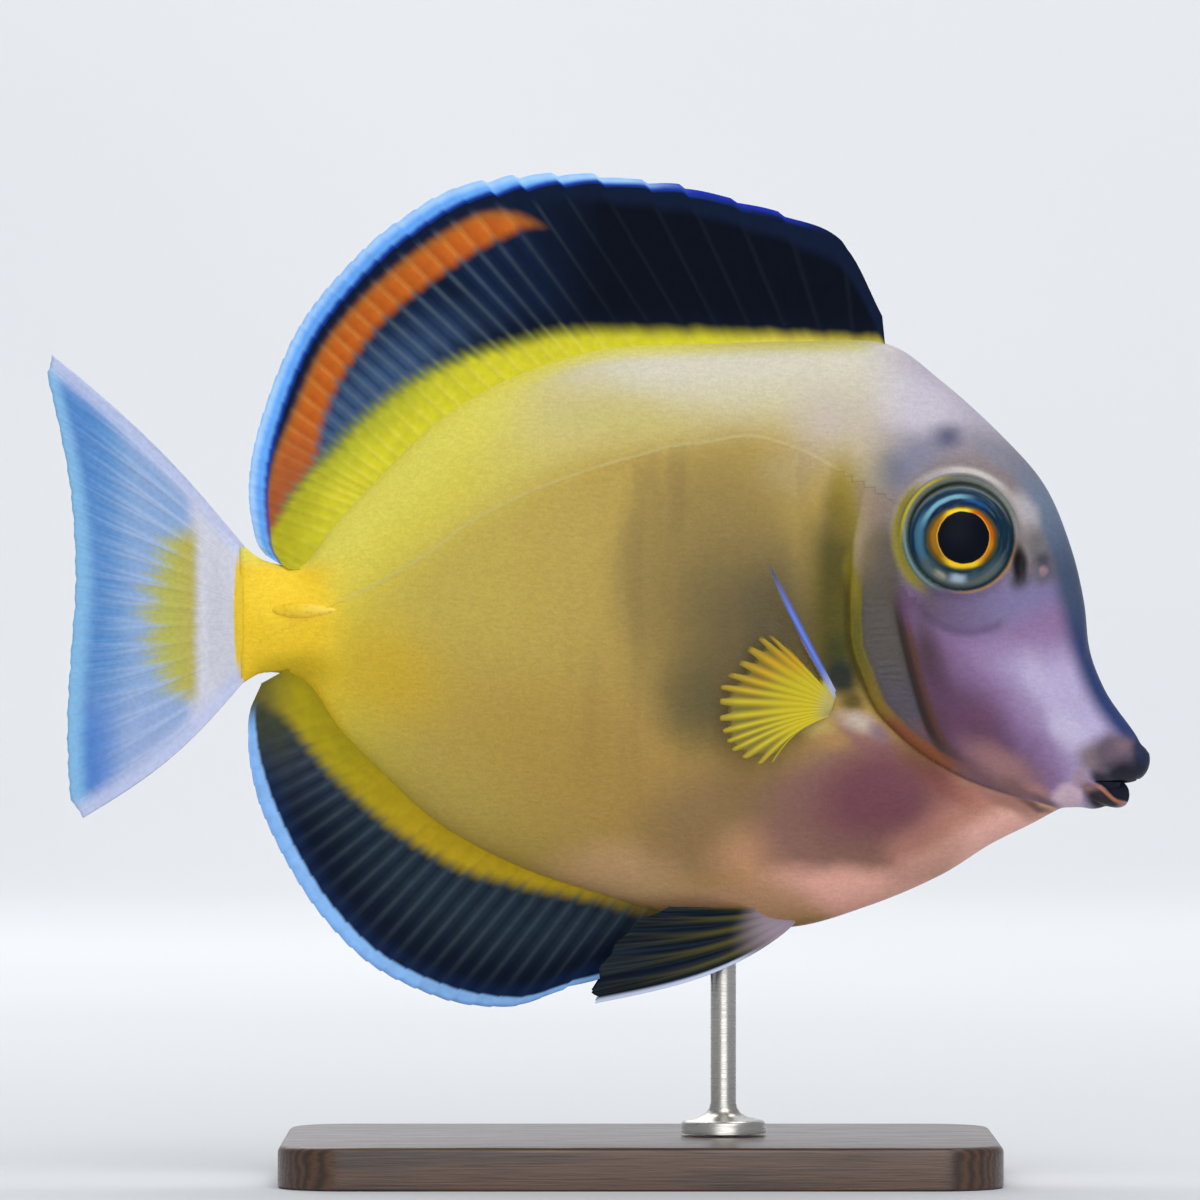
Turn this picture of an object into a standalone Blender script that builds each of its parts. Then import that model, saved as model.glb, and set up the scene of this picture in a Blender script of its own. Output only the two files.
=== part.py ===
"""Still, life-size model of a Japan surgeonfish on a plain display stand.

Metres, +Z up, head towards +X. The origin is on the floor, under the middle of the fish's length.
Tables hold millimetres: x runs from the middle of the length, z from the mid-line of the tail stalk.
"""

import math

import bmesh
import bpy
from mathutils import Matrix, Vector
from mathutils.bvhtree import BVHTree

MM = 0.001
GAP = 0.3 * MM
AXIS_HEIGHT = 65.4 * MM

# Flesh: rungs from the tail's root to the snout, each from the back line to the belly line.
# Columns: rung, back x, back z, belly x, belly z, half width.
RUNGS = (
    (0, -42.1, 9.4, -41.9, -7.3, 1.3),
    (1, -39.5, 7.4, -39.5, -6.0, 1.9),
    (2, -36.2, 6.6, -36.4, -6.2, 2.7),
    (3, -34.1, 7.3, -33.6, -7.8, 3.4),
    (4, -31.0, 11.5, -30.3, -12.7, 4.4),
    (5, -26.3, 16.5, -25.6, -17.5, 5.6),
    (6, -18.5, 24.0, -18.5, -23.9, 7.0),
    (7, -9.5, 29.1, -9.1, -28.9, 8.2),
    (8, 0.3, 32.1, 0.9, -32.2, 9.1),
    (9, 12.1, 32.8, 12.1, -35.1, 9.7),
    (10, 23.8, 33.1, 22.6, -35.9, 9.9),
    (11, 33.8, 32.8, 32.1, -33.3, 9.6),
    (12, 40.3, 28.5, 40.3, -29.8, 8.8),
    (13, 47.4, 22.1, 46.1, -26.2, 7.5),
    (14, 52.6, 16.1, 50.9, -23.8, 6.3),
    (15, 55.6, 9.1, 53.5, -22.4, 5.3),
    (16, 57.2, 2.6, 54.6, -21.9, 4.6),
    (17, 57.9, -3.3, 55.7, -21.8, 4.0),
    (18, 59.6, -7.8, 57.0, -21.8, 3.4),
    (19, 61.6, -10.9, 58.2, -22.0, 2.95),
    (20, 63.1, -12.8, 59.4, -21.8, 2.5),
    (21, 63.9, -14.3, 60.3, -21.3, 1.8),
)
SNOUT_TIP = (62.2, -16.7)
FLANK_FULLNESS = 0.95
FLESH_AROUND = 28
FLESH_RINGS = 46

# The gill cover's rear edge, from above the nape to below the throat: where the head meets the torso.
GILL_EDGE = (
    (0, 35.6, 36.5), (1, 33.4, 26.1), (2, 31.8, 17.9), (3, 29.9, 9.6), (4, 29.4, 2.6),
    (5, 30.2, -3.3), (6, 32.3, -8.6), (7, 35.6, -13.6), (8, 39.7, -16.9), (9, 43.4, -18.9),
    (10, 47.6, -20.7), (11, 52.3, -22.5), (12, 57.5, -25.6),
)
GILL_STEP = 0.45 * MM
GILL_STEP_REACH = 6.0 * MM
GILL_GAP_SHIFT = Vector((-0.3 * MM, 0, -0.2 * MM))
TAIL_STALK_END_X = -29.0 * MM

# The cheek's groove in front of the gill cover.
CHEEK_GROOVE = (
    (0, 34.5, 4.4), (1, 35.9, -2.1), (2, 37.4, -8.0), (3, 39.3, -13.3), (4, 42.1, -16.6), (5, 46.2, -19.0),
)
CHEEK_GROOVE_RADIUS = 0.75 * MM
CHEEK_GROOVE_LIFT = 0.25 * MM
GROOVE_STEPS = 12
TUBE_ROUNDNESS = 3

EYE_AT = (42.5, 10.0)
EYE_RADIUS = 6.75 * MM
EYE_DEPTH = 4.4 * MM
EYE_SUNK = 2.0 * MM
EYE_FACES = Vector((0.14, 1.0, 0.09)).normalized()
EYE_RIM_RADIUS = 6.65 * MM
EYE_RIM_TUBE = 0.62 * MM

NOSTRILS = ((49.7, 6.6, 0.75, 1.35), (51.9, 5.7, 0.5, 0.6))
NOSTRIL_DEPTH = 0.8 * MM

# A lip is a pad with a blunt rim: front x, z and half height, then the same at its corners, and half width.
UPPER_LIP = (65.0, -16.15, 2.95, 58.0, -18.2, 0.7, 3.0)
LOWER_LIP = (62.6, -20.3, 2.0, 57.6, -19.7, 0.9, 2.8)
LIP_BACK = 1.2 * MM
LIP_BLUNTNESS = 0.42
# The mouth is a thin wedge that opens forwards from its corners.
MOUTH = ((58.1, -18.75), (66.0, -18.9), (66.0, -18.35))

# Fins. Each ray runs from its root to its tip, and the rays not listed lie evenly between those that are.
DORSAL_RAYS = 38
DORSAL_SPINES = 9
# Columns: ray, rung of the back that it stands on, tip x, tip z.
DORSAL = (
    (0, 11.0, 33.5, 36.0), (1, 10.6, 28.8, 44.8), (2, 10.25, 21.9, 48.1), (3, 9.9, 15.7, 49.9),
    (4, 9.55, 10.1, 51.5), (5, 9.24, 5.2, 52.1), (6, 8.93, -0.5, 52.8), (7, 8.62, -5.4, 52.9),
    (8, 8.33, -9.6, 52.7), (9, 8.05, -13.6, 52.0), (13, 7.28, -23.6, 47.1), (17, 6.45, -30.5, 40.8),
    (22, 5.55, -36.0, 33.2), (26, 5.0, -39.3, 24.8), (31, 4.3, -41.0, 16.3), (34, 3.4, -40.7, 12.0),
    (36, 2.3, -39.9, 9.0), (37, 1.7, -39.1, 7.9),
)
ANAL_RAYS = 30
ANAL_SPINES = 3
# Columns: ray, rung of the belly that it stands on, tip x, tip z.
ANAL = (
    (0, 8.75, 7.8, -37.2), (1, 8.6, 4.5, -40.4), (2, 8.45, 0.3, -42.0), (3, 8.28, -3.7, -43.2),
    (5, 7.93, -9.6, -45.2), (7, 7.55, -15.0, -45.1), (10, 6.97, -21.5, -43.1), (13, 6.4, -27.2, -39.9),
    (16, 5.87, -32.2, -34.9), (20, 5.15, -37.2, -27.2), (24, 4.28, -40.4, -19.4), (27, 3.3, -41.1, -13.0),
    (28, 2.6, -40.9, -10.5), (29, 1.7, -39.5, -7.2),
)
TAIL_RAYS = 17
# Columns: ray, tip x, tip z.
TAIL = (
    (0, -64.3, 31.5), (1, -64.8, 29.0), (2, -63.9, 24.9), (4, -62.4, 17.3), (6, -61.7, 10.3),
    (8, -61.6, 3.4), (10, -62.1, -3.6), (12, -62.5, -10.6), (14, -62.4, -17.4), (15, -62.1, -20.8),
    (16, -60.6, -23.1),
)
TAIL_ROOT_X = -42.3 * MM
TAIL_ROOT_TOP_Z, TAIL_ROOT_LOW_Z = 9.4 * MM, -7.3 * MM
TAIL_BOW_TOP, TAIL_BOW_LOW = 1.0 * MM, -1.3 * MM
PECTORAL_RAYS = 16
# Columns: ray, tip x, tip z.
PECTORAL = (
    (0, 19.7, 7.6), (2, 17.9, 3.8), (4, 16.5, 0.0), (6, 15.2, -3.6), (8, 14.3, -7.4),
    (10, 14.2, -11.2), (12, 15.4, -14.7), (14, 18.3, -16.6), (15, 20.6, -16.2),
)
PECTORAL_ROOT = ((28.0, -8.3), (27.1, -11.0))
PECTORAL_SPREAD = 5.2 * MM
PECTORAL_LOBE_AT, PECTORAL_LOBE = (28.9, -9.9), (2.8, 0.95, 1.4)
PECTORAL_LOBE_TILT = math.radians(36)
PELVIC_RAYS = 6
# Columns: ray, root x, root z, tip x, tip z.
PELVIC = (
    (0, 23.3, -35.2, -0.3, -44.7), (1, 22.8, -34.9, -0.7, -43.4), (2, 22.2, -34.6, 0.2, -40.5),
    (3, 21.7, -34.3, 2.1, -37.6), (4, 21.2, -34.0, 5.0, -34.9), (5, 20.6, -33.6, 8.4, -33.3),
)
PELVIC_BOW = 1.9 * MM
PELVIC_ROOT_Y = 1.9 * MM
PELVIC_FLARE_LOW, PELVIC_FLARE_HIGH = 2.2 * MM, 3.9 * MM

# Half thicknesses of a fin's web, and how far its rays stand out of it on each side.
WEB_ROOT, WEB_TIP = 0.42 * MM, 0.26 * MM
RAY_ROOT, RAY_TIP = 0.24 * MM, 0.09 * MM

SCALPEL_AT, SCALPEL_SIZE = (-34.2, 1.35), (4.0, 1.1, 1.0)
SCALPEL_SLOPE = -0.11

BASE_SIZE = (84 * MM, 56 * MM, 5 * MM)
BASE_CENTRE_X = 5 * MM
BASE_CORNER = 8 * MM
BASE_CHAMFER = 0.9 * MM
ROD_X = 14.8 * MM
ROD_RADIUS = 1.5 * MM
ROD_FOOT_RADIUS = 5.0 * MM
ROD_FOOT_HEIGHT = 1.6 * MM
ROD_TOP_Z = AXIS_HEIGHT - 33.5 * MM


def smooth(rows, at):
    """Values of a table at a place between its rows, by a cubic. The first column is the place."""
    last = len(rows) - 1
    at = min(max(at, rows[0][0]), rows[-1][0])
    i = min(max(k for k in range(len(rows)) if rows[k][0] <= at), last - 1)

    def slope(k, column):
        low, high = max(k - 1, 0), min(k + 1, last)
        if low == k or high == k:
            return (rows[high][column] - rows[low][column]) / (rows[high][0] - rows[low][0])
        before = (rows[k][column] - rows[low][column]) / (rows[k][0] - rows[low][0])
        after = (rows[high][column] - rows[k][column]) / (rows[high][0] - rows[k][0])
        back, ahead = rows[k][0] - rows[low][0], rows[high][0] - rows[k][0]
        return (before * ahead + after * back) / (back + ahead)

    span = rows[i + 1][0] - rows[i][0]
    t = (at - rows[i][0]) / span
    values = []
    for column in range(1, len(rows[0])):
        start, end = rows[i][column], rows[i + 1][column]
        a, b = slope(i, column) * span, slope(i + 1, column) * span
        from_start = start * (1 + 2 * t) * (1 - t) ** 2 + a * t * (1 - t) ** 2
        from_end = end * t * t * (3 - 2 * t) - b * t * t * (1 - t)
        values.append(from_start + from_end)
    return values


def place(x, z, y=0.0):
    """A point from a table's millimetres, in metres above the floor. y is in metres already."""
    return Vector((x * MM, y, z * MM + AXIS_HEIGHT))


def clear_scene():
    for old in list(bpy.data.objects):
        bpy.data.objects.remove(old, do_unlink=True)


def make_collections():
    """The fish's own collection and, out of the render, the one for cutters."""
    fish = bpy.data.collections.new("japan_surgeonfish")
    tools = bpy.data.collections.new("cutters")
    tools.hide_render = True
    for collection in (fish, tools):
        bpy.context.scene.collection.children.link(collection)
    return fish, tools


def make_material(name, colour, roughness, metallic=0.0):
    material = bpy.data.materials.new(name)
    material.use_nodes = True
    shader = material.node_tree.nodes["Principled BSDF"]
    shader.inputs["Base Color"].default_value = (*colour, 1.0)
    shader.inputs["Roughness"].default_value = roughness
    shader.inputs["Metallic"].default_value = metallic
    return material


def make_object(name, form, collection, material=None):
    """Links a finished bmesh as an object, its faces pointing out."""
    bmesh.ops.recalc_face_normals(form, faces=form.faces)
    mesh = bpy.data.meshes.new(name)
    form.to_mesh(mesh)
    form.free()
    mesh.shade_smooth()
    mesh.set_sharp_from_angle(angle=math.radians(50))
    if material:
        mesh.materials.append(material)
    made = bpy.data.objects.new(name, mesh)
    collection.objects.link(made)
    return made


def keep_largest(mesh):
    """Drops every loose piece of a mesh but the one with the most faces."""
    form = bmesh.new()
    form.from_mesh(mesh)
    bmesh.ops.remove_doubles(form, verts=form.verts, dist=1e-7)
    left = set(form.verts)
    shells = []
    while left:
        shell, edge_of_search = set(), [left.pop()]
        while edge_of_search:
            vert = edge_of_search.pop()
            shell.add(vert)
            found = [e.other_vert(vert) for e in vert.link_edges]
            edge_of_search += [v for v in found if v in left]
            left.difference_update(found)
        shells.append(shell)
    shells.sort(key=len, reverse=True)
    for shell in shells[1:]:
        bmesh.ops.delete(form, geom=list(shell), context="VERTS")
    form.to_mesh(mesh)
    form.free()


def combine(target, others, operation):
    """Applies one Boolean of target with a list of closed objects and keeps the largest body."""
    group = bpy.data.collections.new("operands")
    bpy.context.scene.collection.children.link(group)
    for other in others:
        group.objects.link(other)
    modifier = target.modifiers.new("combine", "BOOLEAN")
    modifier.operation = operation
    modifier.operand_type = "COLLECTION"
    modifier.collection = group
    bpy.context.view_layer.update()
    graph = bpy.context.evaluated_depsgraph_get()
    made = bpy.data.meshes.new_from_object(target.evaluated_get(graph))
    target.modifiers.remove(modifier)
    target.data = made
    for other in others:
        bpy.data.objects.remove(other, do_unlink=True)
    bpy.data.collections.remove(group)
    keep_largest(made)
    made.shade_smooth()
    made.set_sharp_from_angle(angle=math.radians(50))
    return target


def flesh_point(rung, angle, grow=0.0):
    """A point of the flesh: angle is 0 on the back, half a turn on the belly, negative on the right."""
    back_x, back_z, belly_x, belly_z, half_width = smooth(RUNGS, rung)
    back, belly = place(back_x, back_z), place(belly_x, belly_z)
    middle, reach = (back + belly) / 2, (back - belly) / 2
    around = math.sin(angle)
    side = math.copysign(abs(around) ** FLANK_FULLNESS, around) * (half_width * MM + grow)
    point = middle + reach * (math.cos(angle) * (1 + grow / reach.length))
    point.y = side
    return point


def back_point(rung):
    return flesh_point(rung, 0.0, GAP)


def belly_point(rung):
    return flesh_point(rung, math.pi, GAP)


def gill_step(point):
    """How far the torso lies lower than the gill cover, just behind the cover's edge."""
    nearest = min(
        (point - place(x, z, point.y)).length
        for x, z in (smooth(GILL_EDGE, k / 4)[:2] for k in range(4, 45))
    )
    share = max(0.0, 1.0 - nearest / GILL_STEP_REACH)
    return GILL_STEP * share * share * (3 - 2 * share)


def flesh_form(grow=0.0, stepped=False):
    """The whole body from the tail's root to the snout: a globe whose rings become the body's sections."""
    form = bmesh.new()
    bmesh.ops.create_uvsphere(form, u_segments=FLESH_AROUND, v_segments=FLESH_RINGS + 1, radius=1)
    last_rung = RUNGS[-1][0]
    for vert in form.verts:
        ring = round(math.acos(max(-1.0, min(1.0, vert.co.z))) / math.pi * (FLESH_RINGS + 1))
        angle = math.atan2(vert.co.y, vert.co.x)
        if ring == 0:
            vert.co = (flesh_point(0, 0.0) + flesh_point(0, math.pi)) / 2 - Vector((grow, 0, 0))
        elif ring == FLESH_RINGS + 1:
            vert.co = place(*SNOUT_TIP) + Vector((grow, 0, 0))
        else:
            point = flesh_point((ring - 1) / (FLESH_RINGS - 1) * last_rung, angle, grow)
            if ring == 1:
                point.x -= grow
            if stepped and abs(point.y) > 2 * GILL_STEP:
                point.y -= math.copysign(gill_step(point), point.y)
            vert.co = point
    return form


def prism_form(outline, half_depth):
    """A solid with a straight-sided outline in the XZ plane, as deep as given on both sides."""
    form = bmesh.new()
    face = form.faces.new([form.verts.new((p.x, -half_depth, p.z)) for p in outline])
    made = bmesh.ops.extrude_face_region(form, geom=[face], use_keep_orig=True)["geom"]
    moved = [v for v in made if isinstance(v, bmesh.types.BMVert)]
    bmesh.ops.translate(form, verts=moved, vec=(0, 2 * half_depth, 0))
    bmesh.ops.triangulate(form, faces=form.faces)
    return form


def head_block_form():
    """All the space in front of the gill cover's edge."""
    edge = [place(*smooth(GILL_EDGE, k / 3)) for k in range(GILL_EDGE[-1][0] * 3 + 1)]
    front = 80
    return prism_form([*edge, place(front, -45), place(front, 45), place(35.6, 45)], 20 * MM)


def tail_block_form(end_x):
    """All the space behind a plane across the tail stalk."""
    back, high, low = -80 * MM, place(0, 45).z, place(0, -45).z
    corners = ((back, low), (end_x, low), (end_x, high), (back, high))
    return prism_form([Vector((x, 0, z)) for x, z in corners], 20 * MM)


def globe_form(centre, radii, turn=None, around=14, rings=9):
    """An ellipsoid with its radii in metres, turned by a rotation matrix."""
    form = bmesh.new()
    bmesh.ops.create_uvsphere(form, u_segments=around, v_segments=rings, radius=1)
    shape = Matrix.Diagonal((*radii, 1.0))
    if turn:
        shape = turn.to_4x4() @ shape
    bmesh.ops.transform(form, matrix=Matrix.Translation(centre) @ shape, verts=form.verts)
    return form


def surface_of(obj):
    return BVHTree.FromObject(obj, bpy.context.evaluated_depsgraph_get())


def skin_point(surface, x, z, side):
    """Where a line across the fish meets its skin, on the side given by 1 or -1."""
    found = surface.ray_cast(place(x, z, side * 50 * MM), Vector((0, -side, 0)))
    return found[0]


def eye_frame(surface, side):
    """The middle of the eye's disc on the skin, the way it faces, and the turn of a Z axis along that."""
    faces = Vector((EYE_FACES.x, EYE_FACES.y * side, EYE_FACES.z))
    return skin_point(surface, *EYE_AT, side), faces, faces.to_track_quat("Z", "Y").to_matrix()


def eye_form(surface, side, grow=0.0):
    """The eyeball, or with grow its socket."""
    centre, faces, turn = eye_frame(surface, side)
    radius = EYE_RADIUS + grow
    return globe_form(centre - faces * EYE_SUNK, (radius, radius, EYE_DEPTH + grow), turn, 24, 12)


def ring_form(centre, turn, radius, tube, around=28, sides=8):
    """A torus about the Z axis of a turn: a circle of the tube's section is spun round."""
    form = bmesh.new()
    circle = bmesh.ops.create_circle(form, segments=sides, radius=tube)["verts"]
    stand_up = Matrix.Translation((radius, 0, 0)) @ Matrix.Rotation(math.pi / 2, 4, "X")
    bmesh.ops.transform(form, matrix=stand_up, verts=circle)
    bmesh.ops.spin(
        form, geom=form.edges[:] + form.verts[:], cent=(0, 0, 0), axis=(0, 0, 1), angle=2 * math.pi,
        steps=around, use_merge=True,
    )
    bmesh.ops.remove_doubles(form, verts=form.verts, dist=1e-7)
    bmesh.ops.transform(form, matrix=Matrix.Translation(centre) @ turn.to_4x4(), verts=form.verts)
    return form


def make_tube(name, path, radii, collection):
    """A rod of changing thickness along a path: a curve with a round section, turned into a mesh."""
    curve = bpy.data.curves.new(name, "CURVE")
    curve.dimensions = "3D"
    curve.twist_mode = "Z_UP"
    curve.bevel_depth = 1.0
    curve.bevel_resolution = TUBE_ROUNDNESS
    curve.use_fill_caps = True
    spline = curve.splines.new("POLY")
    spline.points.add(len(path) - 1)
    for point, at, radius in zip(spline.points, path, radii):
        point.co = (*at, 1.0)
        point.radius = radius
    rod = bpy.data.objects.new(name, curve)
    collection.objects.link(rod)
    graph = bpy.context.evaluated_depsgraph_get()
    form = bmesh.new()
    form.from_mesh(bpy.data.meshes.new_from_object(rod.evaluated_get(graph)))
    bmesh.ops.remove_doubles(form, verts=form.verts, dist=1e-7)
    bpy.data.objects.remove(rod, do_unlink=True)
    return make_object(name, form, collection)


def lip_form(lip):
    """A globe pressed into a pad that is thickest at the front of the mouth and thin at its corners."""
    front_x, front_z, front_half, corner_x, corner_z, corner_half, half_width = lip
    form = bmesh.new()
    bmesh.ops.create_uvsphere(form, u_segments=20, v_segments=10, radius=1)
    for vert in form.verts:
        flat = math.hypot(vert.co.x, vert.co.y)
        spread = flat ** LIP_BLUNTNESS
        ahead, aside = (vert.co.x / flat, vert.co.y / flat) if flat > 1e-6 else (0.0, 0.0)
        reach = (front_x - corner_x) * MM if ahead > 0 else LIP_BACK
        share = max(ahead * spread, 0.0) ** 0.7
        half = corner_half + (front_half - corner_half) * share
        z = corner_z + (front_z - corner_z) * share + vert.co.z * half
        vert.co = place(corner_x, z, half_width * MM * aside * spread)
        vert.co.x += reach * ahead * spread
    return form


def make_groove(surface, side, collection):
    """The cheek's groove as a cutter: a thin rod along the skin that swells in its middle."""
    path, radii = [], []
    for k in range(GROOVE_STEPS + 1):
        share = k / GROOVE_STEPS
        x, z = smooth(CHEEK_GROOVE, share * CHEEK_GROOVE[-1][0])
        path.append(skin_point(surface, x, z, side) + Vector((0, side * CHEEK_GROOVE_LIFT, 0)))
        radii.append(CHEEK_GROOVE_RADIUS * (0.3 + 0.7 * math.sin(math.pi * share)))
    return make_tube("cheek_groove", path, radii, collection)


def mouth_form():
    return prism_form([place(*corner) for corner in MOUTH], 8 * MM)


def make_flesh(fish, tools, skin):
    """Head, torso and tail stalk: one body, parted by thin cuts at the gill cover and across the stalk."""
    head = make_object("head", flesh_form(), fish, skin)
    surface = surface_of(head)
    added, cut = [], []
    for side in (-1, 1):
        centre, faces, turn = eye_frame(surface, side)
        rim = ring_form(centre - faces * EYE_RIM_TUBE * 0.35, turn, EYE_RIM_RADIUS, EYE_RIM_TUBE)
        added.append(make_object("eye_rim", rim, tools))
        cut.append(make_groove(surface, side, tools))
        cut.append(make_object("socket", eye_form(surface, side, GAP), tools))
        for x, z, half_long, half_high in NOSTRILS:
            centre = skin_point(surface, x, z, side)
            radii = (half_long * MM, NOSTRIL_DEPTH, half_high * MM)
            cut.append(make_object("nostril", globe_form(centre, radii, None, 8, 6), tools))
    added.append(make_object("upper_lip", lip_form(UPPER_LIP), tools))
    added.append(make_object("lower_lip", lip_form(LOWER_LIP), tools))
    cut.append(make_object("mouth", mouth_form(), tools))
    combine(head, added, "UNION")
    combine(head, cut, "DIFFERENCE")
    combine(head, [make_object("head_block", head_block_form(), tools)], "INTERSECT")

    torso = make_object("torso", flesh_form(stepped=True), fish, skin)
    cut_away = head_block_form()
    bmesh.ops.translate(cut_away, verts=cut_away.verts, vec=GILL_GAP_SHIFT)
    head_space = make_object("head_space", cut_away, tools)
    tail_space = make_object("tail_space", tail_block_form(TAIL_STALK_END_X), tools)
    combine(torso, [head_space, tail_space], "DIFFERENCE")

    stalk = make_object("tail_stalk", flesh_form(), fish, skin)
    stalk_block = make_object("stalk_block", tail_block_form(TAIL_STALK_END_X - GAP), tools)
    combine(stalk, [stalk_block], "INTERSECT")
    return surface


def make_eyes(fish, surface, material):
    for name, side in (("eye_right", -1), ("eye_left", 1)):
        make_object(name, eye_form(surface, side), fish, material)


def vane_form(rays, rows, shape):
    """A fin: a grid with a column on every ray and one between, thickened.

    shape(ray, out, face) places a point: out runs from 0 at the root to 1 at the edge, face is -1 or 1.
    """
    form = bmesh.new()
    bmesh.ops.create_grid(form, x_segments=2 * (rays - 1), y_segments=rows, size=0.5)
    bmesh.ops.triangulate(form, faces=form.faces, quad_method="FIXED")
    made = bmesh.ops.extrude_face_region(form, geom=form.faces[:], use_keep_orig=True)["geom"]
    far_side = {v for v in made if isinstance(v, bmesh.types.BMVert)}
    for vert in form.verts:
        ray = round((vert.co.x + 0.5) * 2 * (rays - 1)) / 2
        out = round((vert.co.y + 0.5) * rows) / rows
        vert.co = shape(ray, out, 1 if vert in far_side else -1)
    return form


def vane_half(ray, out):
    """Half of a fin's thickness: the web between the rays, and more on a ray."""
    web = WEB_ROOT + (WEB_TIP - WEB_ROOT) * out
    ridge = RAY_ROOT + (RAY_TIP - RAY_ROOT) * out
    return web + (ridge if ray == int(ray) else 0.0)


def edge_notch(ray, spines, deep, shallow):
    """How much the web falls short of the ray tips, as a share of the ray's length."""
    if ray == int(ray):
        return 0.0
    return deep if ray < spines else shallow


def median_shape(table, root_point, spines, sway):
    """The shape of a fin that stands in the fish's middle plane, such as the dorsal fin."""

    def shape(ray, out, face):
        rung, tip_x, tip_z = smooth(table, ray)
        root, tip = root_point(rung), place(tip_x, tip_z)
        reach = out * (1 - edge_notch(ray, spines, 0.035, 0.012))
        point = root.lerp(tip, reach)
        point.y = sway * out * out * math.sin(ray * 0.36) + face * vane_half(ray, out)
        return point

    return shape


def tail_shape(ray, out, face):
    tip_x, tip_z = smooth(TAIL, ray)
    share = ray / (TAIL_RAYS - 1)
    root_z = TAIL_ROOT_TOP_Z + (TAIL_ROOT_LOW_Z - TAIL_ROOT_TOP_Z) * share
    root, tip = Vector((TAIL_ROOT_X, 0, root_z + AXIS_HEIGHT)), place(tip_x, tip_z)
    along = (tip - root).normalized()
    bow = (TAIL_BOW_TOP + (TAIL_BOW_LOW - TAIL_BOW_TOP) * share) * math.sin(math.pi * out)
    reach = out * (1 - edge_notch(ray, 0, 0, 0.008))
    point = root.lerp(tip, reach) + Vector((along.z, 0, -along.x)) * bow
    stalk_half = RUNGS[0][5] * MM * math.sin(math.pi * min(max(share, 0.04), 0.96)) ** 0.8
    thick = max(stalk_half * (1 - out * 3), 0.0)
    sway = 1.4 * MM * out * out
    point.y = sway + face * max(thick, vane_half(ray, out))
    return point


def pectoral_shape(surface, side):
    upper, lower = (skin_point(surface, *at, side) for at in PECTORAL_ROOT)

    def shape(ray, out, face):
        share = ray / (PECTORAL_RAYS - 1)
        root = upper.lerp(lower, share)
        tip_x, tip_z = smooth(PECTORAL, ray)
        tip = place(tip_x, tip_z, root.y)
        reach = out * (1 - edge_notch(ray, 0, 0, 0.02))
        point = root.lerp(tip, reach)
        cup = math.sin(math.pi * share) * 1.2 * MM * out
        lift = PECTORAL_SPREAD * (1 - (1 - out) ** 1.6) - cup
        point.y = root.y + side * (lift - 0.6 * MM) + face * vane_half(ray, out) * 0.9
        return point

    return shape


def pelvic_shape(side):
    def shape(ray, out, face):
        root_x, root_z, tip_x, tip_z = smooth(PELVIC, ray)
        share = ray / (PELVIC_RAYS - 1)
        root, tip = place(root_x, root_z), place(tip_x, tip_z)
        along = (tip - root).normalized()
        reach = out * (1 - edge_notch(ray, 0, 0, 0.03))
        bow = PELVIC_BOW * (1 - share) * math.sin(math.pi * out ** 0.8)
        point = root.lerp(tip, reach) + Vector((-along.z, 0, along.x)) * bow
        flare = PELVIC_FLARE_LOW + (PELVIC_FLARE_HIGH - PELVIC_FLARE_LOW) * share
        point.y = side * (PELVIC_ROOT_Y + flare * math.sin(min(out * 1.3, 1.0) * math.pi / 2))
        point.y += face * vane_half(ray, out)
        return point

    return shape


def make_fins(fish, tools, surface, materials):
    dark, clear, yellow = materials
    dorsal = vane_form(DORSAL_RAYS, 6, median_shape(DORSAL, back_point, DORSAL_SPINES, 0.9 * MM))
    make_object("dorsal_fin", dorsal, fish, dark)
    anal = vane_form(ANAL_RAYS, 6, median_shape(ANAL, belly_point, ANAL_SPINES, 0.8 * MM))
    make_object("anal_fin", anal, fish, dark)
    make_object("tail_fin", vane_form(TAIL_RAYS, 9, tail_shape), fish, clear)
    for name, side in (("right", -1), ("left", 1)):
        blade = vane_form(PECTORAL_RAYS, 6, pectoral_shape(surface, side))
        pectoral = make_object("pectoral_fin_" + name, blade, fish, yellow)
        centre = skin_point(surface, *PECTORAL_LOBE_AT, side)
        radii = [size * MM for size in PECTORAL_LOBE]
        lobe = globe_form(centre, radii, Matrix.Rotation(PECTORAL_LOBE_TILT, 3, "Y"), 12, 8)
        combine(pectoral, [make_object("lobe", lobe, tools)], "UNION")
        combine(pectoral, [make_object("flesh_space", flesh_form(GAP), tools)], "DIFFERENCE")
        blade = vane_form(PELVIC_RAYS, 8, pelvic_shape(side))
        pelvic = make_object("pelvic_fin_" + name, blade, fish, dark)
        combine(pelvic, [make_object("flesh_space", flesh_form(GAP), tools)], "DIFFERENCE")


def make_scalpels(fish, tools, surface, material):
    """The folded spine on each side of the tail stalk, its point forwards."""
    for name, side in (("scalpel_right", -1), ("scalpel_left", 1)):
        x, z = SCALPEL_AT
        drop = 2 * SCALPEL_SLOPE
        ahead = skin_point(surface, x + 2, z + drop, side)
        behind = skin_point(surface, x - 2, z - drop, side)
        turn = (ahead - behind).to_track_quat("X", "Z").to_matrix()
        centre = skin_point(surface, x, z, side)
        form = bmesh.new()
        bmesh.ops.create_uvsphere(form, u_segments=10, v_segments=12, radius=1)
        for vert in form.verts:
            along = vert.co.z
            taper = 1.0 - 0.45 * max(along, 0.0)
            vert.co = (along * SCALPEL_SIZE[0] * MM, vert.co.y * SCALPEL_SIZE[1] * MM * taper,
                       vert.co.x * SCALPEL_SIZE[2] * MM * taper)
        bmesh.ops.transform(form, matrix=Matrix.Translation(centre) @ turn.to_4x4(), verts=form.verts)
        spine = make_object(name, form, fish, material)
        combine(spine, [make_object("flesh_space", flesh_form(GAP), tools)], "DIFFERENCE")


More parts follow.
